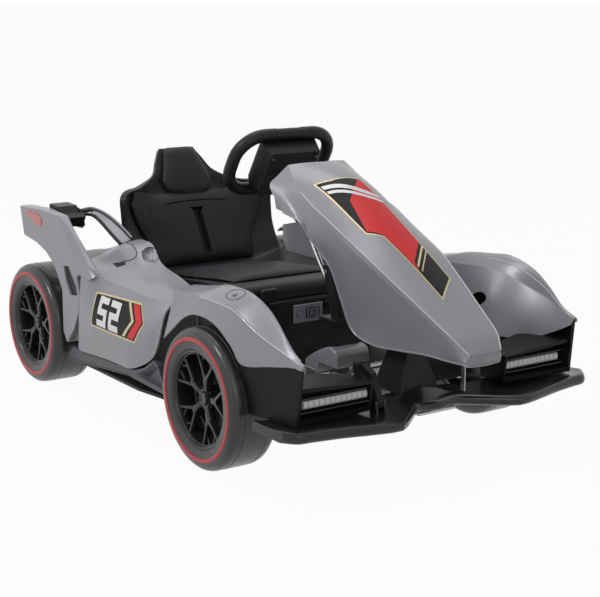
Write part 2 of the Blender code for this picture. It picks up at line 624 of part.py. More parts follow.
def make_column():
    """Post round the shaft, the neck with its collar and the silver pedestal below."""
    post = rod("column_post", on_shaft(.2160), on_shaft(.3300), .0165, black, KART, 10, .0125)
    combine(post, rod("post_bore", on_shaft(.20), on_shaft(.35), .0080, black, KART, 10))

    def oval(y, z, wide, deep):
        return [Vector((wide * math.cos(t), y + deep * math.sin(t), z)) for t in
                [2 * math.pi * (k + 0.5) / 12 for k in range(12)]]
    outer = [oval(.049, .1770, .040, .062), oval(.046, .1850, .039, .057), oval(.043, .1960, .032, .044),
             oval(.042, .2020, .026, .030), oval(.042, .2022, .029, .034), oval(.042, .2125, .029, .034),
             oval(.042, .2145, .026, .030)]
    neck = loft("column_boot", outer, black, KART)
    inner = [oval(.046, .1700, .031, .055), oval(.044, .1900, .027, .043), oval(.044, .2200, .014, .0185)]
    combine(neck, loft("boot_hollow", inner, black, KART))

    box = [(-.052, -.034), (.052, -.034), (.052, .128), (-.052, .128)]
    levels = ((.1080, 1.0, 0.0), (.1500, 1.0, 0.0), (.1690, .95, .003), (.1765, .82, .010))

    def tier(z, spread, draw, less=0.0):
        ring = []
        for x, y in box:
            middle = .047
            ring.append(Vector((x * spread - math.copysign(less, x),
                                middle + (y - middle) * (1 - draw / .081) - math.copysign(less, y - middle), z)))
        return ring
    body = loft("column_pedestal", [tier(*level) for level in levels], silver, KART)
    hollow = [tier(z - SHELL, spread, draw, SHELL) for z, spread, draw in levels]
    hollow[0] = [Vector((p.x, p.y, .09)) for p in hollow[0]]
    combine(body, loft("pedestal_hollow", hollow, silver, KART))
    mouth = [oval(.046, z, .028, .054) for z in (.165, .19)]
    combine(body, loft("pedestal_mouth", mouth, silver, KART))
    combine(body, block("tie_bar_way", (-.08, -.010, .09), (.08, .075, .134), silver, KART))


def make_nose_bracket():
    levels = ((.1316, .044, -.190, -.110), (.1500, .040, -.188, -.112), (.2000, .021, -.178, -.118),
              (.3560, .018, -.158, -.122))
    rings = [[Vector((sx * x, y, z)) for sx, y in ((-1, front), (1, front), (1, rear), (-1, rear))]
             for z, x, front, rear in levels]
    loft("nose_bracket", rings, black, KART)


# Seat line from the front lip over the cushion and up the back:
# y, z, half width, how far the side wings stand up from it
SEAT = [
    (.203, .238, .150, .000), (.208, .262, .156, .003), (.250, .270, .166, .010), (.360, .262, .176, .020),
    (.450, .254, .181, .030), (.505, .262, .184, .040), (.548, .300, .184, .048), (.585, .345, .184, .050),
    (.610, .385, .182, .040), (.628, .414, .138, .020), (.648, .440, .076, .004), (.668, .470, .058, .000),
    (.683, .492, .042, .000),
]
WING_FROM = 0.62
SEAT_COLUMNS = 9


def seat_line(steps):
    path = curve_through([(y, z, 0) for y, z, _, _ in SEAT], steps)
    shape = curve_through([(w, h, 0) for _, _, w, h in SEAT], steps)
    rows = []
    for i, place in enumerate(path):
        ahead = path[min(i + 1, len(path) - 1)] - path[max(i - 1, 0)]
        normal = Vector((0, -ahead.y, ahead.x)).normalized()
        rows.append((Vector((0, place.x, place.y)), normal, shape[i].x, shape[i].y))
    return rows


def seat_patch(rows, spread=1.0, lift=0.0, columns=SEAT_COLUMNS):
    """Points on the seat from side to side, lifted off its surface."""
    grid = []
    for place, normal, wide, wing in rows:
        row = []
        for c in range(columns):
            across = 2 * c / (columns - 1) - 1
            out = max(0.0, (abs(across) - WING_FROM) / (1 - WING_FROM)) ** 1.4
            row.append(place + Vector((wide * across * spread, 0, 0)) + normal * (wing * out + lift))
        grid.append(row)
    return grid


def seat_pad(name, rows, look, parent):
    """A stuffed pad on the middle columns of the seat: flat below, crowned and drawn in above."""
    rings = []
    inset = (SEAT_COLUMNS - 1) // 4
    low = seat_patch(rows, lift=0.0012)
    for i, row in enumerate(low):
        row = row[inset:SEAT_COLUMNS - inset]
        end = min(i, len(low) - 1 - i)
        ring = list(row)
        for c in range(len(row) - 1, -1, -1):
            side_room = min(c, len(row) - 1 - c)
            rise = PAD * (0.45, 0.9, 1.0)[min(2, side_room)] * (0.5, 1.0)[min(1, end)]
            ring.append(row[c] + rows[i][1] * rise)
        rings.append(ring)
    return loft(name, rings, look, parent)


def make_seat():
    tilt = empty("seat_axis", SEAT_PIVOT, KART)
    rows = seat_line(2)
    skin("seat_shell", seat_patch(rows), black, tilt, SEAT_WALL, outward=(0, 0, 1))
    for name, first, last in (("seat_cushion", 4, 10), ("seat_back_pad", 12, 18), ("headrest_pad", 19, 24)):
        seat_pad(name, rows[first:last], vinyl, tilt)
    return rows


def make_seat_base(rows):
    """Box under the seat with the control plate, its switches and the seat lock lever."""
    base = block("seat_base", (-.190, .200, .0754), (.190, .500, .2355), black, KART, .006, 1)
    hollow = block("base_hollow", (-.186, .204, .060), (.186, .496, .2270), black, KART)
    combine(base, hollow)
    under = seat_patch(rows, 1.25, 0.02)
    room = skin("seat_room", under, black, KART, SEAT_WALL + .0206, outward=(0, 0, 1))
    combine(base, room)

    low, high = .1835, .2215
    plate = block("control_plate", (-.012, .1966, low), (.060, .1996, high), pale, KART, .003, 1)
    holes = (("power_button", .002, .0070), ("charge_socket", .031, .0125))
    for name, x, radius in holes:
        place = Vector((x, .1966, .2025))
        combine(plate, rod(name + "_hole", place + Vector((0, -.01, 0)), place + Vector((0, .0022, 0)),
                           radius + .0005, pale, KART))
    press = empty("power_button_axis", (.002, .1966, .2025), KART)
    rod("power_button", (.002, .1945, .2025), (.002, .1968, .2025), .0070, black, press)
    socket = rod("charge_socket", (.031, .1950, .2025), (.031, .1984, .2025), .0125, black, KART, 16)
    combine(socket, rod("socket_bore", (.031, .190, .2025), (.031, .1965, .2025), .0055, black, KART, 8))

    rocker = empty("direction_switch_axis", (.070, .1985, .2140), KART)
    block("direction_switch", (.064, .1955, .2070), (.076, .2010, .2210), gloss, rocker, .001)
    combine(base, block("rocker_pocket", (.0632, .190, .2062), (.0768, .2025, .2218), black, KART))

    lever = empty("seat_lock_axis", (-.072, .1965, .2290), KART)
    outline = [(-.095, .2250), (-.050, .2250), (-.050, .2340), (-.064, .2360), (-.080, .2360), (-.095, .2340)]
    slab("seat_lock_lever", outline, "Y", .1880, .1960, black, lever)


def make_floor():
    """Floor pan with a raised rim, waisted at the rear wheels, and what stands on it."""
    half = [(0, .150), (.190, .150), (.235, .172), (.300, .215), (.312, .300), (.312, .540), (.246, .562),
            (.246, .790), (0, .790)]
    outline = half + [(-x, y) for x, y in half[-2:0:-1]]
    pan = slab("floor_pan", outline, "Z", .0690, .0750, black, KART)
    for k, x in enumerate((-.11, 0, .11)):
        combine(pan, block(f"pan_groove_{k}", (x - .012, .165, .0710), (x + .012, .196, .09), black, KART))
    for label, side in SIDES:
        notch = block("rail_notch_" + label, (side * .033, .14, .0850), (side * .057, .22, .109), black, KART)
        combine(pan, notch)
        step = block("rail_seat_" + label, (side * .030, .1505, .0745), (side * .060, .1900, .0856), black, KART)
        combine(pan, step, "UNION")
    block("battery", (-.075, .300, .0754), (.075, .395, .1700), grey, KART, .003)
    block("control_box", (-.060, .225, .0754), (.060, .275, .1100), black, KART, .003)


def make_rear():
    """Axle rod in two brackets, a gearbox with its motor at each wheel, the deck and the bumper."""
    centre_y, centre_z = WHEELBASE, WHEEL_RADIUS
    rod("rear_axle", (-.3270, centre_y, centre_z), (.3270, centre_y, centre_z), .006, steel, KART, 12)
    for label, side in SIDES:
        plate = [(.690, .0754), (.733, .0754), (.728, .1380), (.7116, .1480), (.695, .1380)]
        bracket = slab("axle_bracket_" + label, plate, "X", side * .110, side * .118, steel, KART)
        foot = block("bracket_foot_" + label, (side * .095, .690, .0754), (side * .117, .733, .0805), steel, KART)
        combine(bracket, foot, "UNION")
        combine(bracket, rod("bracket_bore_" + label, (side * .10, centre_y, centre_z),
                             (side * .13, centre_y, centre_z), .0066, steel, KART, 12))
        case = []
        for k in range(16):
            turn = 2 * math.pi * (k + 0.5) / 16
            big = math.cos(turn) > -.2
            y, z, r = (.7116, .130, .036) if big else (.655, .142, .026)
            case.append((y + r * math.cos(turn), z + r * math.sin(turn)))
        box = slab("gearbox_" + label, case, "X", side * .205, side * .245, grey, KART)
        round_edges(box, .002, 1)
        dog = rod("dog_" + label, (side * .243, centre_y, centre_z), (side * .2610, centre_y, centre_z), .018,
                  grey, KART, 12)
        combine(box, dog, "UNION")
        motor = rod("motor_" + label, (side * .150, .655, .142), (side * .207, .655, .142), .018, grey, KART, 12)
        combine(box, motor, "UNION")
        combine(box, rod("gear_bore_" + label, (side * .19, centre_y, centre_z), (side * .27, centre_y, centre_z),
                         .0066, grey, KART, 12))

    outer = [(.640, .0760), (.640, .0754), (.618, .2300), (.640, .2460), (.740, .2430), (.786, .2050),
             (.789, .0754)]
    outer = outer[1:]
    deck = slab("rear_deck", outer, "X", -.2460, .2460, black, KART)
    inner = [(.645, .0600), (.625, .2270), (.643, .2420), (.737, .2390), (.781, .2030), (.784, .0600)]
    combine(deck, slab("deck_hollow", inner, "X", -.2420, .2420, black, KART))
    for label, side in SIDES:
        way = [(.600, .060), (.780, .060), (.780, .185), (.600, .185)]
        combine(deck, slab("wheel_way_" + label, way, "X", side * .230, side * .26, black, KART))
        way = [(.600, .060), (.680, .060), (.680, .175), (.600, .175)]
        combine(deck, slab("motor_way_" + label, way, "X", side * .140, side * .26, black, KART))

    path = [(-.215, .8000, .150), (-.205, .818, .155), (-.16, .824, .160), (0, .826, .160), (.16, .824, .160),
            (.205, .818, .155), (.215, .8000, .150)]
    bumper = bent_tube("rear_bumper", path, .0105, black, KART)
    for label, side in SIDES:
        stay = block("stay_" + label, (side * .120, .7894, .148), (side * .150, .822, .166), black, KART)
        combine(bumper, stay, "UNION")


def make_pedal(splitter):
    """Accelerator: an upright lever on a pin in a bracket of the splitter, with a foot plate."""
    pin_y, pin_z = -.236, .1460
    hinge = empty("pedal_axis", (-.130, pin_y, pin_z), KART)
    arm = [(-.243, .1395), (-.229, .1395), (-.226, .1500), (-.210, .1850), (-.190, .2000), (-.194, .2060),
           (-.222, .1950), (-.243, .1500)]
    lever = slab("accelerator_pedal", arm, "X", -.136, -.124, black, hinge)
    plate = [(-.196, .1780), (-.189, .1775), (-.184, .2080), (-.191, .2090)]
    combine(lever, slab("foot_plate", plate, "X", -.1460, -.1140, black, hinge), "UNION")
    combine(lever, rod("pin_bore", (-.15, pin_y, pin_z), (-.11, pin_y, pin_z), .0036, black, hinge, 10))
    for k, x in enumerate((-.1390, -.1210)):
        cheek = [(-.245, .1250), (-.226, .1250), (-.228, .1500), (-.236, .1535), (-.243, .1500)]
        combine(splitter, slab(f"pedal_cheek_{k}", cheek, "X", x - .0020, x + .0020, black, KART), "UNION")
    combine(splitter, rod("pedal_pin", (-.1400, pin_y, pin_z), (-.1200, pin_y, pin_z), .0030, black, KART, 10),
            "UNION")


for label, side in SIDES:
    make_fender(label, side)
    make_side_body(label, side)
    make_roll_strut(label, side)
    make_skirt(label, side)
    make_headlight(label, side)
    make_knuckle(label, side)
make_pedal(make_splitter())
make_front_frame()
make_tie_bar()
make_steering()
make_column()
make_nose_bracket()
make_seat_base(make_seat())
make_floor()
make_rear()
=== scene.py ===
import math

import bmesh
import bpy
from mathutils import Matrix, Vector, geometry
from mathutils.bvhtree import BVHTree


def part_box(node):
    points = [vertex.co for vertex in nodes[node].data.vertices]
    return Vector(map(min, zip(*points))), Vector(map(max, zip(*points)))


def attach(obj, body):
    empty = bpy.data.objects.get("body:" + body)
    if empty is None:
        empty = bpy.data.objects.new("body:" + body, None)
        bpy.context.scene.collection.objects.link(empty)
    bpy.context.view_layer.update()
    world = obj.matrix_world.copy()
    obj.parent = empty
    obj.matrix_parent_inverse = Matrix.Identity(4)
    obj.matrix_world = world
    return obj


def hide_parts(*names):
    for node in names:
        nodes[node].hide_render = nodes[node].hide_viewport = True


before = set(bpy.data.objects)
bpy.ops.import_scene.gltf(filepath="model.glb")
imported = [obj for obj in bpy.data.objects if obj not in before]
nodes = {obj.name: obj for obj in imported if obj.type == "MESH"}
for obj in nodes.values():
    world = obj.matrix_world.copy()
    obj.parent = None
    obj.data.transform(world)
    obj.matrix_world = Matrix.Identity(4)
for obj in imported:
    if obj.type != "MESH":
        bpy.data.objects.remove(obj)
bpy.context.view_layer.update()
print("stage: frame loaded,", len(nodes), "nodes")

# all places below are measured from the middle of the front axle, as on the drawing board
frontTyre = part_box("tyre_front_left")
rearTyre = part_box("tyre_rear_left")
axleShift = Vector((0, (frontTyre[0].y + frontTyre[1].y) / 2, 0))
wheelbase = (rearTyre[0].y + rearTyre[1].y) / 2 - axleShift.y
tyreRadius = (frontTyre[1].z - frontTyre[0].z) / 2
wheelX = (frontTyre[0].x + frontTyre[1].x) / 2
sides = (("left", 1), ("right", -1))


# a socket that can be added, taken away and multiplied like a number
class Wire:
    def __init__(self, wiring, socket):
        self.wiring = wiring
        self.socket = socket

    def maths(self, operation, first, second):
        return self.wiring.node("ShaderNodeMath", {"operation": operation}, {0: first, 1: second})

    def __add__(self, other):
        return self.maths("ADD", self, other)

    def __radd__(self, other):
        return self.maths("ADD", other, self)

    def __sub__(self, other):
        return self.maths("SUBTRACT", self, other)

    def __rsub__(self, other):
        return self.maths("SUBTRACT", other, self)

    def __mul__(self, other):
        return self.maths("MULTIPLY", self, other)

    def __rmul__(self, other):
        return self.maths("MULTIPLY", other, self)


# a node tree and the one way in which nodes are added to it
class Wiring:
    def __init__(self, tree):
        self.tree = tree

    def node(self, kind, settings, inputs, output=0):
        made = self.tree.nodes.new(kind)
        for key, value in settings.items():
            setattr(made, key, value)
        for key, value in inputs.items():
            self.put(made.inputs[key], value)
        return Wire(self, made.outputs[output])

    def put(self, socket, value):
        if isinstance(value, Wire):
            self.tree.links.new(value.socket, socket)
        else:
            socket.default_value = value


# one material and the few kinds of node that it is built from
class Paint(Wiring):
    def __init__(self, name, **constants):
        self.material = bpy.data.materials.new(name)
        self.material.use_nodes = True
        super().__init__(self.material.node_tree)
        self.shader = self.tree.nodes["Principled BSDF"]
        self.set(**constants)

    def set(self, **sockets):
        for socket, value in sockets.items():
            self.put(self.shader.inputs[socket.replace("_", " ")], value)

    def place(self):
        return self.node("ShaderNodeTexCoord", {}, {}, "Object")

    def noise(self, scale, detail=2.0, roughness=.5):
        return self.node("ShaderNodeTexNoise", {}, {"Vector": self.place(), "Scale": scale, "Detail": detail,
                                                    "Roughness": roughness})

    def cells(self, scale, feature="F1"):
        inputs = {"Vector": self.place(), "Scale": scale}
        return self.node("ShaderNodeTexVoronoi", {"feature": feature}, inputs)

    def mix(self, factor, first, second):
        return self.node("ShaderNodeMix", {"data_type": "RGBA"}, {0: factor, 6: first, 7: second}, 2)

    def bump(self, height, strength, distance, after=None):
        inputs = {"Strength": strength, "Distance": distance, "Height": height}
        if after is not None:
            inputs["Normal"] = after
        return self.node("ShaderNodeBump", {}, inputs)


silverLook = {"base": (.3, .3, .325, 1), "dusty": (.27, .27, .292, 1), "roughness": .34,
              "flake": (.4, .4, .43, 1)}
vinylLook = {"base": (.0105, .0105, .014, 1), "creased": (.018, .018, .023, 1), "roughness": .5}
steelLook = {"base": (.46, .46, .47, 1), "stained": (.3, .3, .31, 1), "roughness": .33}
mottledLook = {
    "black": {"base": (.0105, .0105, .0135, 1), "other": (.018, .018, .022, 1), "roughness": .42,
              "swing": .16, "cloud": (14, 4, .6), "cells": 1500, "bump": (.16, .00025)},
    "gloss": {"base": (.0095, .0095, .0115, 1), "other": (.02, .02, .024, 1), "roughness": .21,
              "swing": .1, "cloud": (18, 3), "grain": 40, "bump": (.04, .0006)},
    "grey": {"base": (.085, .085, .098, 1), "other": (.115, .115, .128, 1), "roughness": .42,
             "swing": .15, "cloud": (16, 4, .6), "cells": 1300, "bump": (.12, .00025)},
    "tyre": {"base": (.0145, .0145, .016, 1), "other": (.03, .03, .032, 1), "roughness": .46,
             "swing": .22, "cloud": (22, 5, .65), "grain": 420, "bump": (.08, .0004)},
}
goldColour = (.72, .62, .36, 1)
redColour = (.8, .04, .045, 1)
ringColour = (.62, .045, .055, 1)


def paintSilver():
    paint = Paint("silverPaint", Metallic=.1, Specular_IOR_Level=.35, Coat_Weight=.12,
                  Coat_Roughness=.14)
    flake = paint.noise(2600, 1.0)
    dust = paint.noise(9, 4.0, .6)
    shade = paint.mix(dust, silverLook["base"], silverLook["dusty"])
    paint.set(Base_Color=paint.mix((flake - .5) * .5 + .25, shade, silverLook["flake"]),
              Roughness=silverLook["roughness"] + (dust - .5) * .1,
              Normal=paint.bump(paint.noise(34, 2.0), .05, .0008))
    return paint.material


def paintVinyl():
    paint = Paint("seatVinyl", Specular_IOR_Level=.2, Sheen_Weight=.02, Sheen_Roughness=.4)
    grain = paint.cells(620, "DISTANCE_TO_EDGE")
    crease = paint.noise(26, 5.0, .6)
    soft = paint.bump(crease, .1, .0015)
    paint.set(Base_Color=paint.mix(crease, vinylLook["base"], vinylLook["creased"]),
              Roughness=vinylLook["roughness"] + (crease - .5) * .18,
              Normal=paint.bump(grain, .22, .0003, soft))
    return paint.material


def paintSteel():
    paint = Paint("zincSteel", Metallic=1.0)
    stain = paint.noise(30, 5.0, .6)
    brushed = paint.noise(160, 2.0, .5)
    paint.set(Base_Color=paint.mix(stain, steelLook["base"], steelLook["stained"]),
              Roughness=steelLook["roughness"] + (brushed - .5) * .2,
              Normal=paint.bump(brushed, .08, .0003))
    return paint.material


# colour and roughness wander with one cloud, and fine grain lies over them
def paintMottled(name, look, **constants):
    paint = Paint(name, **constants)
    cloud = paint.noise(*look["cloud"])
    grain = paint.cells(look["cells"]) if "cells" in look else paint.noise(look["grain"])
    paint.set(Base_Color=paint.mix(cloud, look["base"], look["other"]),
              Roughness=look["roughness"] + (cloud - .5) * look["swing"],
              Normal=paint.bump(grain, *look["bump"]))
    return paint.material


def paintFlat(name, colour, roughness, mottle=.08, **constants):
    darker = tuple(c * (1 - mottle * 2) for c in colour[:3]) + (1,)
    look = {"base": colour, "other": darker, "roughness": roughness, "swing": .12, "cloud": (60, 3),
            "grain": 300, "bump": (.03, .0003)}
    return paintMottled(name, look, **constants)


silver = paintSilver()
black = paintMottled("blackPlastic", mottledLook["black"], Specular_IOR_Level=.22)
gloss = paintMottled("glossBlackPlastic", mottledLook["gloss"], Specular_IOR_Level=.4)
darkGrey = paintMottled("darkGreyPlastic", mottledLook["grey"], Specular_IOR_Level=.25)
tyrePlastic = paintMottled("tyrePlastic", mottledLook["tyre"], Specular_IOR_Level=.3, Coat_Weight=.45,
                           Coat_Roughness=.16)
vinyl = paintVinyl()
steel = paintSteel()
paleGrey = paintFlat("paleGreyPlastic", (.33, .33, .37, 1), .4)
ringRed = paintFlat("tyreRingRed", ringColour, .42, .1)
lampRed = paintFlat("redLens", (.6, .03, .035, 1), .16, .12, Coat_Weight=.8, Coat_Roughness=.05)
ledWhite = paintFlat("frostedLens", (.86, .86, .88, 1), .22, .05, Coat_Weight=.6)
decalGold = paintFlat("decalGold", goldColour, .36, .06, Metallic=.35)
decalRed = paintFlat("decalRed", redColour, .42, .04, Specular_IOR_Level=.2)
decalBlack = paintFlat("decalBlack", (.008, .008, .009, 1), .45, .1, Specular_IOR_Level=.15)
decalWhite = paintFlat("decalWhite", (.9, .9, .92, 1), .32, .04, Coat_Weight=.3)
deepBlack = paintFlat("housingBlack", (.0055, .0055, .007, 1), .4, .1, Specular_IOR_Level=.15)
# a pale silver for the beads along the creases: a painted highlight, the bright line where a crease catches
# the light
paintedHighlightSilver = paintFlat("paintedCreaseHighlight", (.66, .66, .69, 1), .24, .03, Coat_Weight=.4)
print("stage: materials")

nodeFinish = {
    silver: "column_pedestal hood fender_left fender_right side_body_left side_body_right",
    black: "seat_base control_box power_button charge_socket seat_shell seat_lock_lever steering_rim "
           "steering_hub column_post column_boot nose_bracket roll_strut_left roll_strut_right "
           "headlight_housing_left headlight_housing_right rear_deck rear_bumper accelerator_pedal floor_pan",
    gloss: "splitter rim_front_left rim_front_right rim_rear_left rim_rear_right direction_switch",
    darkGrey: "skirt_left skirt_right gearbox_left gearbox_right battery",
    steel: "steering_shaft rear_axle axle_bracket_left axle_bracket_right front_beam knuckle_left "
           "knuckle_right tie_bar",
    tyrePlastic: "tyre_front_left tyre_front_right tyre_rear_left tyre_rear_right",
    vinyl: "seat_cushion seat_back_pad headrest_pad",
    paleGrey: "control_plate horn_button music_button",
    lampRed: "tail_light_left tail_light_right",
    ledWhite: "led_bar_left led_bar_right",
}
for finish, names in nodeFinish.items():
    for name in names.split():
        nodes[name].data.materials.clear()
        nodes[name].data.materials.append(finish)
print("stage: node finishes")


def shifted(point):
    return Vector(point) + axleShift


# a smooth line through the points, with sharp turns at the corners
def curveThrough(points, steps, corners=()):
    points = [Vector(p) for p in points]
    last = len(points) - 1
    line = []
    for i in range(last):
        start, end = points[i], points[i + 1]
        before = points[i - 1] if i > 0 and i not in corners else start - (end - start)
        after = points[i + 2] if i + 2 <= last and i + 1 not in corners else end + (end - start)
        near = [.05] if i in corners else []
        far = [.95] if i + 1 in corners else []
        for t in sorted([step / steps for step in range(steps)] + near + far):
            line.append(.5 * (2 * start + (end - before) * t
                              + (2 * before - 5 * start + 4 * end - after) * t ** 2
                              + (3 * start - before - 3 * end + after) * t ** 3))
    line.append(points[last])
    return line


# ribs are smoothed down each rail first, then across each rib
def net(ribs, along, across, corners=()):
    rails = [curveThrough(rail, along) for rail in zip(*ribs)]
    return [curveThrough(rib, across, corners) for rib in zip(*rails)]


def placed(name, data):
    obj = bpy.data.objects.new(name, data)
    bpy.context.scene.collection.objects.link(obj)
    return obj


def makeMesh(name, points, faces, outward=None):
    mesh = bpy.data.meshes.new(name)
    mesh.from_pydata([shifted(p) for p in points], [], faces)
    work = bmesh.new()
    work.from_mesh(mesh)
    bmesh.ops.remove_doubles(work, verts=work.verts, dist=.00001)
    bmesh.ops.recalc_face_normals(work, faces=work.faces)
    work.to_mesh(mesh)
    work.free()
    if outward is not None:
        total = sum((face.normal * face.area for face in mesh.polygons), Vector())
        if total.dot(Vector(outward)) < 0:
            mesh.flip_normals()
    return placed(name, mesh)


def skin(name, grid, outward):
    wide = len(grid[0])
    faces = [(r * wide + c, r * wide + c + 1, (r + 1) * wide + c + 1, (r + 1) * wide + c)
             for r in range(len(grid) - 1) for c in range(wide - 1)]
    return makeMesh(name, [p for row in grid for p in row], faces, outward)


# a closed body through rings of points, with flat ends, or joined end to end
def loft(name, rings, joined=False):
    count = len(rings[0])
    faces = []
    for r in range(len(rings) if joined else len(rings) - 1):
        s = (r + 1) % len(rings)
        for i in range(count):
            j = (i + 1) % count
            faces.append((r * count + i, r * count + j, s * count + j, s * count + i))
    if not joined:
        faces.append(tuple(range(count)))
        faces.append(tuple((len(rings) - 1) * count + i for i in range(count)))
    return makeMesh(name, [p for ring in rings for p in ring], faces)


def turned(name, profile, centre, turns):
    rings = []
    for k in range(turns):
        turn = 2 * math.pi * k / turns
        rings.append([Vector((centre[0] + x, centre[1] + r * math.sin(turn), centre[2] + r * math.cos(turn)))
                      for x, r in profile])
    return loft(name, rings, True)


def circle(centre, axis, radius, count, squash=1.0):
    axis = Vector(axis).normalized()
    side = Vector((1, 0, 0)) if abs(axis.x) < .9 else Vector((0, 1, 0))
    second = axis.cross(side).normalized()
    first = second.cross(axis)
    turns = [2 * math.pi * (k + .5) / count for k in range(count)]
    return [Vector(centre) + first * radius * math.cos(t) + second * radius * squash * math.sin(t)
            for t in turns]


def rod(name, start, end, radius, count=24):
    axis = Vector(end) - Vector(start)
    return loft(name, [circle(start, axis, radius, count), circle(end, axis, radius, count)])


def tube(name, path, radius, count):
    path = [Vector(p) for p in path]
    rings = []
    for i, place in enumerate(path):
        ahead = path[min(i + 1, len(path) - 1)] - path[max(i - 1, 0)]
        rings.append(circle(place, ahead, radius, count))
    return loft(name, rings)


# an outline of y and z, drawn out across the kart
def slab(name, outline, low, high, side=1):
    return loft(name, [[Vector((side * x, y, z)) for y, z in outline] for x in (low, high)])


def block(name, low, high):
    outline = [(low[1], low[2]), (high[1], low[2]), (high[1], high[2]), (low[1], high[2])]
    return slab(name, outline, low[0], high[0])


# levels of a four-sided body: height, half width, front and rear
def tower(name, levels):
    return loft(name, [[Vector((-half, front, z)), Vector((half, front, z)), Vector((half, rear, z)),
                        Vector((-half, rear, z))] for z, half, front, rear in levels])


def sided(points, side):
    return [Vector((side * p[0], p[1], p[2])) for p in points]


def surfaceOf(obj):
    return BVHTree.FromPolygons([v.co for v in obj.data.vertices], [f.vertices for f in obj.data.polygons])


# where places land on a surface when they are thrown along a direction, lifted off it
def landOn(tree, places, towards, lift=0):
    way = Vector(towards).normalized()
    landed = []
    for place in places:
        start = shifted(place)
        hit, normal, _, _ = tree.ray_cast(start - way * .25, way)
        if hit is None:
            hit, normal, _, _ = tree.find_nearest(start)
        if normal.dot(way) > 0:
            normal = -normal
        landed.append(hit + normal * lift - shifted((0, 0, 0)))
    return landed


def drop(obj):
    bpy.data.objects.remove(obj, do_unlink=True)


def thicken(obj, wall):
    step = obj.modifiers.new("wall", "SOLIDIFY")
    step.thickness = wall
    step.offset = -1


def combine(obj, operation, tool):
    step = obj.modifiers.new("shape", "BOOLEAN")
    step.operation = operation
    step.solver = "EXACT"
    step.object = tool
    return step


def roundOff(obj, width, segments, angle):
    step = obj.modifiers.new("rounding", "BEVEL")
    step.width = width
    step.segments = segments
    step.limit_method = "ANGLE"
    step.angle_limit = math.radians(angle)


# bakes the modifiers into the mesh and evens its shading, with edges past the angle kept sharp
def settle(obj, angle):
    bpy.context.view_layer.update()
    seen = obj.evaluated_get(bpy.context.evaluated_depsgraph_get())
    baked = bpy.data.meshes.new_from_object(seen)
    obj.modifiers.clear()
    obj.data = baked
    baked.shade_smooth()
    baked.set_sharp_from_angle(angle=math.radians(angle))
    even = obj.modifiers.new("evenShading", "WEIGHTED_NORMAL")
    even.keep_sharp = True
    even.weight = 60


# the same for a part that is worked on further, with a small rounding where one is given
def settlePart(obj, soft, angle):
    if soft:
        roundOff(obj, soft, 2, 30)
    settle(obj, angle)
    obj.modifiers.clear()


# applies wall, cuts and rounding, shades the piece, and ties it to its CAD body
def dress(obj, finish, stands=None, body="chassis", wall=0, soft=0, segments=2, angle=32, cuts=(),
          adds=()):
    if wall:
        thicken(obj, wall)
    for operation, tools in (("UNION", adds), ("DIFFERENCE", cuts)):
        for tool in tools:
            combine(obj, operation, tool)
    if soft:
        roundOff(obj, soft, segments, angle)
    settle(obj, angle)
    for tool in list(cuts) + list(adds):
        drop(tool)
    obj.data.materials.clear()
    obj.data.materials.append(finish)
    if body:
        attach(obj, body)
    if stands:
        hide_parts(stands)


def joinAll(name, parts):
    work = bmesh.new()
    for part in parts:
        work.from_mesh(part.data)
        drop(part)
    mesh = bpy.data.meshes.new(name)
    work.to_mesh(mesh)
    work.free()
    return placed(name, mesh)


# wheels
wheelLook = {"spokes": 5, "turns": 72, "ringRadius": .1094, "ringHalf": .0031, "spokeTurn": .22,
             "lugs": 5, "lugCircle": .0205, "lugRadius": .0027, "lugFrom": .018, "lugTo": .0275}


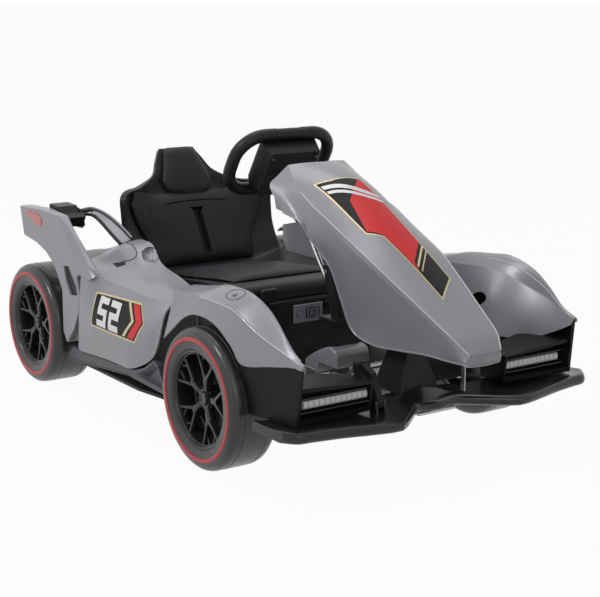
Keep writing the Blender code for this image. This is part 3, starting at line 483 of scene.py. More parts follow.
def makeWheels():
    home = -axleShift
    tread = [(.0435, .09), (.0452, .0912), (.0464, .095), (.047, .101), (.0478, .1052),
             (.0484, .113), (.0478, .1165), (.0466, .1205), (.045, .123), (.0438, .1236),
             (.0428, .1252), (.0395, .1278), (.035, .1292), (.03, .1297), (.0265, .1298),
             (.0258, .1288), (.0238, .1288), (.0231, .1299), (.01, .13)]
    profile = tread + [(-x, r) for x, r in tread[::-1]]
    profile += [(-.044, .0902), (-.04, .0902), (.04, .0902)]
    tyre = turned("tyre", profile, home, wheelLook["turns"])
    ring = wheelLook["ringRadius"]
    half = wheelLook["ringHalf"]
    band = turned("band", [(.048, ring - half - .0006), (.0492, ring - half), (.0497, ring - half * .5),
                           (.0499, ring), (.0496, ring + half * .5), (.049, ring + half),
                           (.0478, ring + half + .0006), (.047, ring)], home, wheelLook["turns"])
    barrel = [(.0445, .0898), (.044, .0872), (.0425, .0852), (.04, .0842), (.0386, .0822),
              (.033, .0808), (.018, .0792), (.0042, .0782), (.003, .0765), (.003, .023),
              (.024, .0185), (.03, .0175), (.03, .006), (-.044, .006), (-.0445, .0195),
              (-.003, .0225), (-.003, .0785), (-.044, .083), (-.044, .0898)]
    dish = turned("dish", barrel, home, wheelLook["turns"])
    parts = [dish]
    for k in range(wheelLook["spokes"]):
        turn = 2 * math.pi * k / wheelLook["spokes"] + wheelLook["spokeTurn"]
        parts += makeSpoke(turn)
    cap = turned("cap", [(.025, .0001), (.025, .0135), (.033, .0132), (.0345, .0118),
                         (.0345, .01), (.033, .0092), (.033, .0001)], home, 32)
    parts.append(cap)
    for k in range(wheelLook["lugs"]):
        turn = 2 * math.pi * (k + .5) / wheelLook["lugs"] + wheelLook["spokeTurn"]
        y, z = wheelLook["lugCircle"] * math.sin(turn), wheelLook["lugCircle"] * math.cos(turn)
        parts.append(loft("lug", [circle(Vector((x, y, z)) - axleShift, (1, 0, 0), wheelLook["lugRadius"], 6)
                                  for x in (wheelLook["lugFrom"], wheelLook["lugTo"])]))
    for part in parts:
        settlePart(part, .0007 if part is not dish else 0, 30)
    spokes = joinAll("spokes", parts)
    settlePart(tyre, 0, 24)
    settlePart(band, 0, 40)
    settlePart(spokes, 0, 30)
    for end, y in (("front", 0), ("rear", wheelbase)):
        for label, side in sides:
            spot = Matrix.Translation(shifted((side * wheelX, y, tyreRadius)))
            if side < 0:
                spot = spot @ Matrix.Rotation(math.pi, 4, "Z")
            place = end + "_" + label
            for source, name, finish, stands in ((tyre, "tyreWall_", tyrePlastic, "tyre_" + place),
                                                 (band, "tyreRing_", ringRed, None),
                                                 (spokes, "rimCover_", gloss, "rim_" + place)):
                copy = placed(name + place, source.data.copy())
                copy.data.transform(spot)
                copy.data.materials.append(finish)
                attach(copy, "wheel_" + place)
                if stands:
                    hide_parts(stands)
    for source in (tyre, band, spokes):
        drop(source)


# a stem from the hub that forks into two arms, with a short prong between the arm ends
def makeSpoke(turn):
    def at(across, radius, depth):
        return Vector((depth, across * math.cos(turn) + radius * math.sin(turn),
                       radius * math.cos(turn) - across * math.sin(turn))) - axleShift

    def beam(name, stations):
        rings = []
        for across, radius, half, depth, thick in stations:
            rings.append([at(across - half, radius, depth - thick), at(across + half, radius, depth - thick),
                          at(across + half * .62, radius, depth), at(across - half * .62, radius, depth)])
        return loft(name, rings)
    made = [beam("stem", [(0, .012, .0075, .0285, .016), (0, .03, .008, .0325, .014),
                          (0, .047, .01, .0335, .013)])]
    for hand in (-1, 1):
        made.append(beam("arm", [(hand * .003, .04, .0058, .0335, .013),
                                 (hand * .0125, .056, .0046, .0345, .012),
                                 (hand * .0235, .0735, .0042, .0365, .012),
                                 (hand * .0275, .08, .0052, .0385, .014)]))
        made.append(beam("prong", [(hand * .018, .064, .0026, .031, .008),
                                   (hand * .007, .0815, .0036, .036, .012)]))
    return made


makeWheels()
print("stage: wheels")


# bonnet; ribs from the cockpit to the nose: crown, crease, band under it, flank, lower edge
hoodLook = {"wall": .003, "along": 6, "crown": 2.3, "ridge": .0022, "rim": .0019, "bead": .0013,
            "across": (0, .12, .24, .36, .48, .6, .71, .81, .9, .965), "creaseRows": (8, 74),
            "beadLift": (.0006, -.0002, .0007)}
hoodRibs = [
    [(0, .112, .518), (.066, .1358, .5136), (.084, .1431, .495),
     (.103, .143, .4743), (.101, .1007, .4309)],
    [(0, .088, .512), (.079, .0868, .4801), (.0855, .095, .474),
     (.094, .098, .4563), (.095, .0529, .4178)],
    [(0, .0272, .4926), (.083, .0312, .4505), (.0842, .0319, .442),
     (.0881, .0344, .4175), (.088, .0369, .393)],
    [(0, -.0143, .469), (.083, -.0103, .4331), (.0842, -.0076, .4246),
     (.0831, .0024, .3946), (.078, .0123, .3646)],
    [(0, -.0497, .4482), (.0815, -.0457, .4166), (.0827, -.0418, .4081),
     (.0794, -.0273, .3735), (.072, -.0129, .3389)],
    [(0, -.0888, .4247), (.0805, -.0848, .3991), (.0817, -.0794, .3906),
     (.0764, -.0595, .3367), (.067, -.0395, .2828)],
    [(0, -.1264, .401), (.08, -.1224, .3827), (.0812, -.116, .3742),
     (.0741, -.0924, .3029), (.063, -.0687, .2315)],
    [(0, -.1613, .3792), (.078, -.1573, .3661), (.0792, -.1535, .3576),
     (.0716, -.1395, .2866), (.06, -.1254, .2156)],
    [(0, -.2222, .3401), (.0685, -.2182, .332), (.0697, -.2162, .3235),
     (.0649, -.2087, .2717), (.056, -.2012, .22)],
    [(0, -.2802, .3034), (.0585, -.2762, .2987), (.0597, -.2746, .2902),
     (.0569, -.2687, .2572), (.05, -.2628, .2243)],
    [(0, -.3361, .2692), (.0485, -.3321, .2662), (.0497, -.3296, .2577),
     (.0489, -.3205, .2407), (.044, -.3114, .2237)],
    [(0, -.355, .2533), (.0405, -.3502, .251), (.0417, -.3485, .2428),
     (.0431, -.3422, .2333), (.0405, -.3359, .2237)],
    [(0, -.364, .243), (.0345, -.3603, .2418), (.038, -.3593, .2335),
     (.042, -.3556, .2293), (.04, -.3519, .2251)],
    [(0, -.3662, .237), (.0335, -.362, .2362), (.037, -.3594, .231),
     (.0405, -.3562, .2275), (.0395, -.352, .2246)],
    [(0, -.363, .2215), (.033, -.3592, .2222), (.0355, -.3575, .2226),
     (.0385, -.3552, .2234), (.039, -.3518, .2242)],
]


def makeHood():
    rails = [curveThrough(rail, hoodLook["along"], (12, 13)) for rail in zip(*hoodRibs)]
    grid = []
    for crown, crease, band, flank, edge in zip(*rails):
        top = [Vector((crease.x * step, crown.y + (crease.y - crown.y) * step,
                       crown.z - (crown.z - crease.z) * step ** hoodLook["crown"]))
               for step in hoodLook["across"]]
        half = top + curveThrough([crease, band, flank, edge], 4, (0, 1))
        grid.append(sided(half[:0:-1], -1) + half)
    hood = skin("hoodShell", grid, (0, 0, 1))
    roundOff(hood, hoodLook["ridge"], 3, 12)
    dress(hood, silver, "hood", wall=hoodLook["wall"], angle=30)
    middle = len(grid[0]) // 2
    first, last = hoodLook["creaseRows"]
    # thin beads along both creases in the pale silver: a painted highlight line on each crease
    for label, side in sides:
        lift = sided([hoodLook["beadLift"]], side)[0]
        line = [row[middle + side * len(hoodLook["across"])] + lift for row in grid[first:last]]
        dress(tube("hoodCreaseHighlight_" + label, line, hoodLook["bead"], 8), paintedHighlightSilver)
    rim = [row[0] for row in grid] + grid[-1][1:-1] + [row[-1] for row in grid[::-1]]
    dress(tube("hoodRim", rim, hoodLook["rim"], 10), silver)


# front fenders
fenderLook = {"wall": .003, "ventPlace": (-.075, .2547), "ventRadius": .0185,
              "ventSquash": .66, "ridge": .0025, "bead": .0011, "archRadius": .15,
              "knobPlace": (.31, -.066), "knobRadius": .007, "dish": (.011, .026), "dishShadeBead": .0009}


def arch(degrees, x):
    turn = math.radians(degrees)
    radius = fenderLook["archRadius"]
    return (x, radius * math.cos(turn), tyreRadius + radius * math.sin(turn))


# rails per rib: arch lip, outer crease, ridge, inner crease, inner lower edge
fenderRibs = [
    [(.3405, .1385, .213), (.33, .1102, .307), (.27, .1492, .3025), (.238, .194, .291), (.228, .196, .215)],
    [arch(67, .34), (.331, .05, .311), (.268, .06, .317), (.248, .065, .305), (.206, .065, .205)],
    [arch(90, .34), (.331, 0, .313), (.282, .01, .329), (.257, 0, .309), (.2, 0, .2)],
    [arch(110, .34), (.331, -.05, .3125), (.291, -.045, .334), (.265, -.055, .311), (.2, -.05, .197)],
    [arch(130, .339), (.33, -.095, .309), (.3, -.1, .335), (.275, -.1, .306), (.2, -.1, .195)],
    [(.336, -.126, .219), (.3235, -.155, .283), (.302, -.155, .32), (.287, -.145, .288), (.236, -.15, .194)],
    [(.322, -.19, .228), (.315, -.21, .262), (.303, -.195, .295), (.297, -.195, .272), (.258, -.18, .19)],
    [(.312, -.235, .235), (.31, -.242, .25), (.304, -.232, .262), (.301, -.235, .253), (.29, -.228, .212)],
    [(.31, -.268, .236), (.3095, -.268, .2425), (.306, -.268, .2445), (.302, -.266, .2425),
     (.298, -.261, .23)],
]


def makeFender(label, side):
    grid = net([sided(rib, side) for rib in fenderRibs], 5, 4, (1, 3))
    shell = skin("fenderShell_" + label, grid, (0, 0, 1))
    roundOff(shell, fenderLook["ridge"], 3, 12)
    y, z = fenderLook["ventPlace"]
    radius, squash = fenderLook["ventRadius"], fenderLook["ventSquash"]
    vent = loft("vent", [circle((side * x, y, z), (1, 0, 0), radius, 40, squash) for x in (.15, .285)])
    dress(shell, silver, "fender_" + label, wall=fenderLook["wall"], cuts=[vent], angle=26)
    # pale silver beads along the outer crease and the inner ridge: painted highlight lines where these edges
    # catch the light
    for name, rail, first in (("fenderCreaseHighlight_", 4, 8), ("fenderRidgeHighlight_", 12, 15)):
        bead = tube(name + label, [row[rail] for row in grid[first:39]], fenderLook["bead"], 8)
        dress(bead, paintedHighlightSilver)
    x, y = fenderLook["knobPlace"]
    wide, long = fenderLook["dish"]
    turns = [math.radians(step * 9) for step in range(41)]
    ring = [(x + wide * math.cos(turn), y + long * math.sin(turn), .4) for turn in turns]
    landed = landOn(surfaceOf(shell), sided([(x, y, .4)] + ring, side), (0, 0, -1))
    # a dark grey ring laid on the surface with no hollow cut: painted shade of the shallow dimple round the
    # knob
    dress(tube("fenderDishShade_" + label, landed[1:], fenderLook["dishShadeBead"], 8), darkGrey)
    # a small knob in the middle of the dimple; its pale grey colour is a painted highlight, the bright dot at
    # the dimple's centre
    knob = rod("fenderKnobHighlight_" + label, landed[0] - Vector((0, 0, .002)), landed[0] + Vector((0, 0, .0016)),
               fenderLook["knobRadius"])
    dress(knob, paleGrey, soft=.0012)


# side bodies; ribs: lower edge, flank, crease, top, pod shoulder, pod crown, inner wall foot
sideRibs = [
    [(.341, .15, .222), (.338, .1335, .262), (.328, .12, .28), (.29, .138, .29),
     (.262, .163, .29), (.24, .1975, .284), (.23, .2, .215)],
    [(.331, .2, .16), (.343, .2, .215), (.3245, .2, .274), (.29, .2, .285),
     (.26, .205, .287), (.236, .214, .284), (.228, .214, .11)],
    [(.334, .28, .122), (.345, .28, .2), (.3235, .28, .273), (.285, .28, .286),
     (.25, .28, .29), (.226, .28, .292), (.222, .28, .088)],
    [(.335, .35, .118), (.346, .35, .198), (.3225, .35, .273), (.28, .35, .286),
     (.248, .35, .2935), (.216, .35, .297), (.213, .35, .088)],
    [(.335, .385, .117), (.346, .385, .197), (.322, .385, .2735), (.28, .385, .288),
     (.247, .385, .303), (.211, .385, .306), (.209, .385, .088)],
    [(.335, .412, .115), (.346, .405, .196), (.3215, .398, .2742), (.278, .412, .2895),
     (.248, .414, .316), (.207, .412, .325), (.206, .412, .088)],
    [(.336, .438, .114), (.346, .43, .195), (.325, .418, .2805), (.278, .44, .291),
     (.249, .44, .325), (.204, .438, .334), (.2045, .438, .088)],
    [(.338, .485, .112), (.344, .47, .2), (.335, .433, .29), (.28, .485, .291),
     (.248, .485, .324), (.202, .485, .333), (.204, .485, .088)],
    [(.3385, .498, .112), (.3425, .484, .202), (.339, .452, .297), (.28, .515, .293),
     (.246, .515, .316), (.203, .515, .327), (.2045, .515, .088)],
    [(.3395, .506, .115), (.3422, .492, .204), (.3405, .474, .306), (.28, .54, .295),
     (.243, .545, .306), (.204, .56, .317), (.205, .56, .088)],
]
# fin rings: x of the inner face, then y and z on the front edge plane and on the outer face
finPoints = [(.314, .44, .27, .44, .27), (.32, .424, .279, .43, .273), (.322, .44, .291, .4515, .2896),
             (.326, .464, .311, .4916, .308), (.328, .488, .33, .532, .332), (.328, .528, .359, .557, .37),
             (.326, .562, .384, .5755, .384), (.314, .67, .386, .67, .385), (.314, .773, .381, .773, .38)]
finPoints += [(.314, y, z, y, z) for y, z in (
    (.757, .318), (.69, .31), (.645, .297), (.616, .281), (.593, .259), (.571, .228), (.572, .14),
    (.556, .117), (.52, .152), (.496, .19), (.487, .226), (.5, .264), (.49, .272))]
podWay = (.55, .8, -.21)
scoopRim = [(.225, y, z) for y, z in ((.43, .317), (.412, .33), (.388, .3325), (.374, .321), (.373, .311),
                                      (.388, .3035), (.42, .3025))]
podSeam = [(.24, y, z) for y, z in ((.474, .3315), (.446, .33), (.427, .319), (.43, .307), (.454, .296),
                                    (.478, .292))]
podSlot = [(.266, y, z) for y, z in ((.48, .2895), (.44, .3), (.426, .301), (.43, .2945), (.46, .285))]
lampOutline = [(.66, .35), (.67, .3475), (.738, .364), (.736, .377), (.672, .374), (.66, .364)]
finSlot = [(.558, .281), (.534, .284), (.518, .266), (.501, .248), (.495, .229), (.529, .224),
           (.549, .25)]
# a black sheet inside the body behind the fin: painted shade for the shadowed gap between the fin and the
# side body
finGapShade = [(.488, .13), (.486, .27), (.5, .286), (.57, .286), (.566, .13), (.54, .118), (.52, .118)]
finLook = {"edge": .335, "outer": .343, "soft": .003, "pocket": (.337, .353), "lens": (.3375, .3442),
           "slot": (.3, .36), "vent": (.332, .3385), "gapShade": (.308, .311)}


# the outline moved out from its middle by a distance, or in by a negative one
def scaled(outline, grow):
    middle = Vector((sum(p[0] for p in outline), sum(p[1] for p in outline))) / len(outline)
    ring = []
    for p in outline:
        arm = Vector(p) - middle
        ring.append(tuple(middle + arm * (1 + grow / arm.length)))
    return ring


def makeSide(label, side):
    shell = skin("sideShell_" + label, net([sided(rib, side) for rib in sideRibs], 5, 4, (2, 5)), (0, 0, 1))
    shelf = [[(.3, .52, .2885), (.262, .52, .29), (.206, .52, .32)],
             [(.309, .56, .296), (.262, .555, .298), (.206, .565, .312)],
             [(.309, .585, .298), (.262, .59, .302), (.212, .595, .299)]]
    shelf = skin("shelf", net([sided(rib, side) for rib in shelf], 5, 5), (0, 0, 1))
    for piece, wall in ((shell, .003), (shelf, .004)):
        thicken(piece, wall)
        settle(piece, 26)
    rim = landOn(surfaceOf(shell), curveThrough(sided(scoopRim + scoopRim[:1], -1), 3)[:-1], podWay)
    rim = sided(rim, -side)
    middle = sum(rim, Vector()) / len(rim)
    inward = Vector((-side * .62, .62, -.48)).normalized()
    rings = [[middle + (p - middle) * grow + inward * depth for p in rim]
             for grow, depth in ((1.06, -.012), (1.0, 0), (.93, .0045), (.72, .009), (.35, .011))]
    bowl = skin("bowl", [ring + ring[:1] for ring in rings[1:]] + [[rings[-1][0]] * (len(rim) + 1)], -inward)
    opening = loft("opening", [rings[0], [p + inward * .03 for p in rings[1]]])
    settlePart(bowl, 0, 50)
    carve = combine(shell, "DIFFERENCE", opening)
    carve.use_self = True
    carve.use_hole_tolerant = True
    settle(shell, 26)
    drop(opening)
    fin = loft("fin", [sided([(inner, y, z) for inner, y, z, _, _ in finPoints], side),
                       sided([(finLook["edge"], y, z) for _, y, z, _, _ in finPoints], side),
                       sided([(finLook["outer"], y, z) for _, _, _, y, z in finPoints], side)])
    settlePart(fin, finLook["soft"], 40)
    pocket = slab("lampPocket", scaled(lampOutline, .0004), *finLook["pocket"], side)
    slot = slab("slot", finSlot, *finLook["slot"], side)
    dress(fin, silver, body=None, cuts=[pocket, slot], angle=30)
    tree = surfaceOf(shell)
    seam = landOn(tree, curveThrough(sided(podSeam, -1), 5), podWay, .0002)
    gap = landOn(tree, sided(podSlot, -1), podWay, .0006)
    seam, gap = sided(seam, -side), sided(gap, -side)
    dress(tube("podSeam_" + label, seam, .0013, 8), darkGrey)
    dress(makeMesh("podSlot_" + label, gap, [tuple(range(len(gap)))], (side, 0, 1)), black, wall=.0004)
    dress(joinAll("sideShell_" + label, [shell, shelf, fin, bowl]), silver, "side_body_" + label, angle=30)
    lens = slab("tailLens_" + label, lampOutline, *finLook["lens"], side)
    dress(lens, lampRed, "tail_light_" + label, soft=.0009)
    dress(slab("finVent_" + label, scaled(finSlot, -.0003), *finLook["vent"], side), black)
    # the black sheet behind the fin is painted shade in the gap
    dress(slab("finGapShade_" + label, finGapShade, *finLook["gapShade"], side), black)


# roll struts: a grey web between two black rails, with a winglet and its end plate
strutRails = {"outer": [(.239, .5, .3245), (.24, .5078, .3283), (.243, .5383, .3434), (.247, .5717, .3615),
                        (.252, .5941, .3725), (.257, .613, .3743), (.264, .634, .371)],
              "inner": [(.211, .508, .329), (.212, .5228, .3363), (.217, .5467, .3506), (.223, .5719, .3631),
                        (.229, .5972, .3723), (.236, .6217, .3775), (.243, .6387, .378), (.262, .66, .371)]}
strutLook = {"rail": .0038, "web": .002, "rows": 26, "lean": (0, 1, .6), "topLift": (-.004, .004, .0048),
             "topBead": .0022, "wing": (.27, .312), "plate": (.2665, .271), "streak": (.2712, .3124)}
wingOutline = [(.626, .375), (.611, .3795), (.596, .3725), (.612, .351), (.655, .344), (.69, .37),
               (.684, .393), (.64, .3915)]
plateOutline = [(.638, .387), (.625, .384), (.612, .366), (.607, .353), (.619, .345), (.66, .344),
                (.668, .36), (.66, .386)]
streakOutline = [(.61, .3803), (.609, .3786), (.625, .374), (.627, .3757)]


def makeStrut(label, side):
    outer, inner = (curveThrough(strutRails[name], 5) for name in ("outer", "inner"))
    web = []
    for i in range(strutLook["rows"]):
        low = outer[min(i, len(outer) - 1)]
        high = inner[min(i, len(inner) - 1)]
        across = (high - low) * .5
        middle = (high + low) * .5
        rise = across.cross(Vector(strutLook["lean"])).normalized() * strutLook["web"]
        web.append(sided([middle - across - rise, middle + across - rise, middle + across + rise,
                          middle - across + rise], side))
    dress(loft("strutWeb_" + label, web), silver)
    rails = [tube("rail", sided(line, side), strutLook["rail"], 16) for line in (outer, inner)]
    # a pale grey bead along the top of the inner rail: a painted highlight where the rail's top catches the
    # light
    top = sided([p + Vector(strutLook["topLift"]) for p in inner], side)
    dress(tube("strutTop_" + label, top, strutLook["topBead"], 10), paleGrey)
    plate = slab("plate", plateOutline, *strutLook["plate"], side)
    settlePart(plate, .0012, 40)
    wing = slab("wing", wingOutline, *strutLook["wing"], side)
    dress(wing, black, "roll_strut_" + label, soft=.0012, adds=rails + [plate])
    dress(slab("wingLine_" + label, streakOutline, *strutLook["streak"], side), darkGrey)


makeHood()
for label, side in sides:
    makeFender(label, side)
    makeSide(label, side)
    makeStrut(label, side)
print("stage: bodywork")


# light housings
housingLook = {"segments": 12, "lensLow": .1602, "lensHigh": .1752, "lensFrom": .157, "lensTo": .29}


def makeHeadlight(label, side):
    foot = [(.305, -.156, .1375), (.305, -.252, .1375), (.151, -.243, .1375), (.151, -.181, .1375)]
    top = [(.303, -.162, .207), (.303, -.254, .202), (.151, -.25, .189), (.151, -.181, .1885)]
    middle = [Vector(a) * .25 + Vector(b) * .75 for a, b in zip(foot, top)]
    body = loft("housing_" + label, [sided(ring, side) for ring in (foot, middle, top)])
    outer = [(.333, -.106, .216), (.3085, -.2645, .239), (.311, -.253, .1375), (.326, -.126, .133)]
    inner = [(x - .0065, y + .001, z) for x, y, z in outer]
    panel = loft("panel", [sided(ring, side) for ring in (outer, inner)])
    mouth = [[(.157, -.229, .15), (.297, -.229, .15), (.297, -.229, .192), (.157, -.229, .185)],
             [(.153, -.28, .142), (.31, -.28, .142), (.31, -.28, .199), (.153, -.28, .187)]]
    mouth = loft("mouth", [sided(ring, side) for ring in mouth])
    dress(body, deepBlack, "headlight_housing_" + label, soft=.0012, adds=[panel], cuts=[mouth])
    low, high = housingLook["lensLow"], housingLook["lensHigh"]
    first, last = housingLook["lensFrom"], housingLook["lensTo"]
    width = (last - first) / housingLook["segments"]
    cells = []
    for k in range(housingLook["segments"]):
        x = first + k * width
        profile = [(-.231, low), (-.2395, low + .0006), (-.2418, low + .004), (-.2418, high - .004),
                   (-.2395, high - .0006), (-.231, high)]
        cells.append(slab("cell", profile, x + .0006, x + width - .0006, side))
        settlePart(cells[k], .0006, 30)
    dress(joinAll("lightBar_" + label, cells), ledWhite, "led_bar_" + label, angle=40)
    for name, z, deep in (("shelf", low - .0045, .245), ("brow", high + .004, .244)):
        ledge = block(name + "Ledge_" + label, (side * .1535, -deep, z - .0012),
                      (side * .3, -.2288, z + .0012))
        dress(ledge, gloss, soft=.0007)
    addScrew("lampScrew_" + label, (side * .289, -.2296, .153), (0, -1, 0), .0026)


screwLook = {"high": .0012}


# a small cross-head screw: a low head with a cross cut into it
def addScrew(name, place, outward, radius, finish=steel, body="chassis"):
    place, outward = Vector(place), Vector(outward).normalized()
    high = screwLook["high"]
    head = loft(name, [circle(place - outward * .001, outward, radius, 20),
                       circle(place + outward * high * .5, outward, radius, 20),
                       circle(place + outward * high, outward, radius * .72, 20)])
    side = Vector((1, 0, 0)) if abs(outward.x) < .9 else Vector((0, 1, 0))
    across = outward.cross(side).normalized()
    along = across.cross(outward)
    slots = []
    for a, b in ((across, along), (along, across)):
        ring = [place + outward * (high * .55) + a * (radius * .5 * u) + b * (radius * .12 * v)
                for u, v in ((-1, -1), (1, -1), (1, 1), (-1, 1))]
        slots.append(loft("slot", [ring, [p + outward * .003 for p in ring]]))
    dress(head, finish, body=body, cuts=slots)


# splitter, from the middle outwards: y and x of its front edge, then of its rear edge
splitterEdge = [(-.25, 0), (-.2455, .044), (-.262, .068), (-.3, .112), (-.3145, .134), (-.314, .156),
                (-.305, .197), (-.294, .242), (-.286, .29), (-.281, .322), (-.258, .342)]
splitterBack = [(-.15, 0), (-.15, .044), (-.16, .068), (-.178, .112), (-.178, .134), (-.178, .156),
                (-.178, .197), (-.178, .242), (-.178, .29), (-.178, .322), (-.166, .342)]
cheekOutline = [(-.245, .125), (-.226, .125), (-.228, .15), (-.236, .1535), (-.243, .15)]


def makeSplitter():
    fronts = curveThrough([(y, x, 0) for y, x in splitterEdge], 4, (4,))
    backs = curveThrough([(y, x, 0) for y, x in splitterBack], 4, (4,))
    rings = []
    for front, back in zip(fronts, backs):
        x = front.y
        low = .112 + .004 * x / splitterEdge[-1][1]
        top = .13 + .0065 * x / splitterEdge[-1][1]
        tall = top - low
        y = front.x
        profile = [(back.x, low), (back.x, top - .003), (back.x + (y - back.x) * .45, top - .003),
                   (y + .024, top - .0016), (y + .015, top), (y + .008, top), (y + .003, top - tall * .12),
                   (y + .0006, top - tall * .34), (y, low + tall * .4), (y + .0024, low + tall * .14),
                   (y + .008, low)]
        rings.append([Vector((x, py, pz)) for py, pz in profile])
    rings = [sided(ring, -1) for ring in rings[:0:-1]] + rings
    body = loft("splitterBlade", rings)
    cheeks = []
    for x in (-.139, -.121):
        cheeks.append(slab("cheek", cheekOutline, x - .002, x + .002))
    cheeks.append(rod("pin", (-.1405, -.236, .146), (-.1195, -.236, .146), .003))
    dress(body, gloss, "splitter", adds=cheeks, angle=40)
    ridge = [[Vector((x, y, z)) for y, z in ((-.214, .127), (-.198, .127 + h), (-.184, .127 + h),
                                             (-.168, .127))]
             for x, h in ((-.06, .001), (-.03, .011), (0, .017), (.03, .011), (.06, .001))]
    dress(loft("splitterRidge", ridge), gloss, soft=.001)


# the bracket behind the splitter, with two steel strips and a box and latch beside it
noseLook = {"levels": [(.1316, .044, -.19, -.11), (.15, .04, -.188, -.112), (.2, .021, -.178, -.118),
                       (.356, .018, -.158, -.122)],
            "strips": {"strutNear": ((.014, -.158, .1315), (.012, -.158, .245)),
                       "strutFar": ((.03, -.272, .15), (.03, -.272, .245))},
            "stripHalf": (.001, .005)}


def makeNose():
    dress(tower("noseBracket", noseLook["levels"]), black, "nose_bracket", soft=.003, segments=3)
    wide, long = noseLook["stripHalf"]
    for name, ends in noseLook["strips"].items():
        strip = loft(name, [[Vector((x + sx * wide, y + sy * long, z))
                             for sx, sy in ((-1, -1), (1, -1), (1, 1), (-1, 1))] for x, y, z in ends])
        dress(strip, steel, soft=.0004)
    dress(block("noseBox", (.004, -.15, .131), (.14, -.105, .183)), black, soft=.002)
    dress(block("noseLatch", (.018, -.149, .1832), (.06, -.125, .196)), silver, soft=.002)


# skirts
skirtLook = {"panel": (.316, .331), "groove": (.3295, .335), "mouthFrom": .332, "mouthTo": .33, "floor": .32,
             "soft": .0016}
skirtOutline = [(.152, .097), (.303, .102), (.578, .0745), (.572, .088), (.552, .1085), (.5, .108),
                (.435, .1105), (.36, .114), (.28, .118), (.235, .133), (.198, .156), (.182, .15),
                (.168, .128)]


def makeSkirt(label, side):
    body = slab("skirtPanel_" + label, skirtOutline, *skirtLook["panel"], side)
    mouth = [(.166, .1065), (.262, .111), (.262, .116), (.232, .129), (.1985, .15), (.185, .145),
             (.173, .128)]
    deep = [(.172, .109), (.24, .112), (.24, .113), (.22, .123), (.1985, .138), (.188, .136),
            (.18, .124)]
    levels = ((skirtLook["mouthFrom"], mouth), (skirtLook["mouthTo"], mouth), (skirtLook["floor"], deep))
    hollow = loft("hollow", [[Vector((side * x, y, z)) for y, z in ring] for x, ring in levels])
    line = [(.3, .104), (.56, .08), (.56, .0815), (.3, .1055)]
    groove = slab("groove", line, *skirtLook["groove"], side)
    dress(body, darkGrey, "skirt_" + label, soft=skirtLook["soft"], cuts=[hollow, groove])


makeSplitter()
makeNose()
for label, side in sides:
    makeHeadlight(label, side)
    makeSkirt(label, side)
print("stage: front and skirts")


# steering wheel
steeringLook = {"grip": .0124, "bridge": .0116, "wide": .11, "high": .067, "corner": .055,
                "tilt": .575, "seam": .03}
rimCentre = Vector((0, .267, .505))
# hub: half width of the foot, its level, half width of the face, level of the knee and the top, depth
hubLevels = ((.048, -.052, .057, -.034, .053, -.043), (.054, -.0562, .063, -.038, .057, -.006),
             (.05, -.051, .058, -.035, .051, .006))


def onWheel(a, b, c):
    tilt = steeringLook["tilt"]
    up = Vector((0, -math.sin(tilt), math.cos(tilt)))
    face = Vector((0, math.cos(tilt), math.sin(tilt)))
    return rimCentre + Vector((a, 0, 0)) + up * b + face * c


def rimLine():
    wide, high, corner = steeringLook["wide"], steeringLook["high"], steeringLook["corner"]
    seam = steeringLook["seam"]
    line = []
    for sx, sy, start in ((1, 1, 0), (-1, 1, 90), (-1, -1, 180), (1, -1, 270)):
        for k in range(13):
            turn = math.radians(start + 7.5 * k)
            line.append((sx * (wide - corner) + corner * math.cos(turn),
                         sy * (high - corner) + corner * math.sin(turn)))
        if start in (0, 180):
            near = 1 if start == 0 else -1
            line += [(near * a, near * high) for a in (seam + .0006, seam, -seam, -seam - .0006)]
    return line


def makeSteering():
    line = rimLine()
    rings = []
    for i, (a, b) in enumerate(line):
        before, after = line[i - 1], line[(i + 1) % len(line)]
        out = Vector((after[1] - before[1], before[0] - after[0])).normalized()
        radius = steeringLook["bridge"] if abs(a) <= steeringLook["seam"] + .0001 else steeringLook["grip"]
        ring = []
        for k in range(20):
            turn = 2 * math.pi * k / 20
            ring.append(onWheel(a + out.x * radius * math.cos(turn), b + out.y * radius * math.cos(turn),
                                radius * 1.06 * math.sin(turn)))
        rings.append(ring)
    dress(loft("steeringGrip", rings, True), black, "steering_rim", body="steering_wheel", angle=28)
    outlines = [[(-foot, low), (foot, low), (wide, knee), (wide, high), (-wide, high), (-wide, knee)]
                for foot, low, wide, knee, high, _ in hubLevels]
    hub = loft("steeringHub", [[onWheel(a, b, level[-1]) for a, b in outline]
                               for outline, level in zip(outlines, hubLevels)])
    wells = [rod("well", onWheel(a, .012, -.002), onWheel(a, .012, .02), .0098, 32) for a in (-.034, .034)]
    dish = loft("dish", [[onWheel(a * s, b * s, depth) for a, b in outlines[0]]
                         for s, depth in ((.88, -.05), (.88, -.0432), (.83, -.0418))])
    dress(hub, black, "steering_hub", body="steering_wheel", soft=.0022, segments=3, cuts=wells + [dish])
    for a in (-.047, .047):
        addScrew("hubScrew" + ("Left" if a > 0 else "Right"), onWheel(a * 1.08, .04, -.0425),
                 onWheel(0, 0, -1) - rimCentre, .0022, paleGrey, "steering_wheel")
    rodLine = [onWheel(0, 0, -.02), (0, .15, .356), (0, .094, .284), (0, .079, .264), (0, .07, .248),
               (0, .048, .196), (0, .03, .153), (0, .0215, .133), (0, .0195, .124), (0, .0195, .111)]
    bent = tube("steeringRod", curveThrough(rodLine, 4), .0052, 16)
    dress(bent, steel, "steering_shaft", body="steering_wheel")


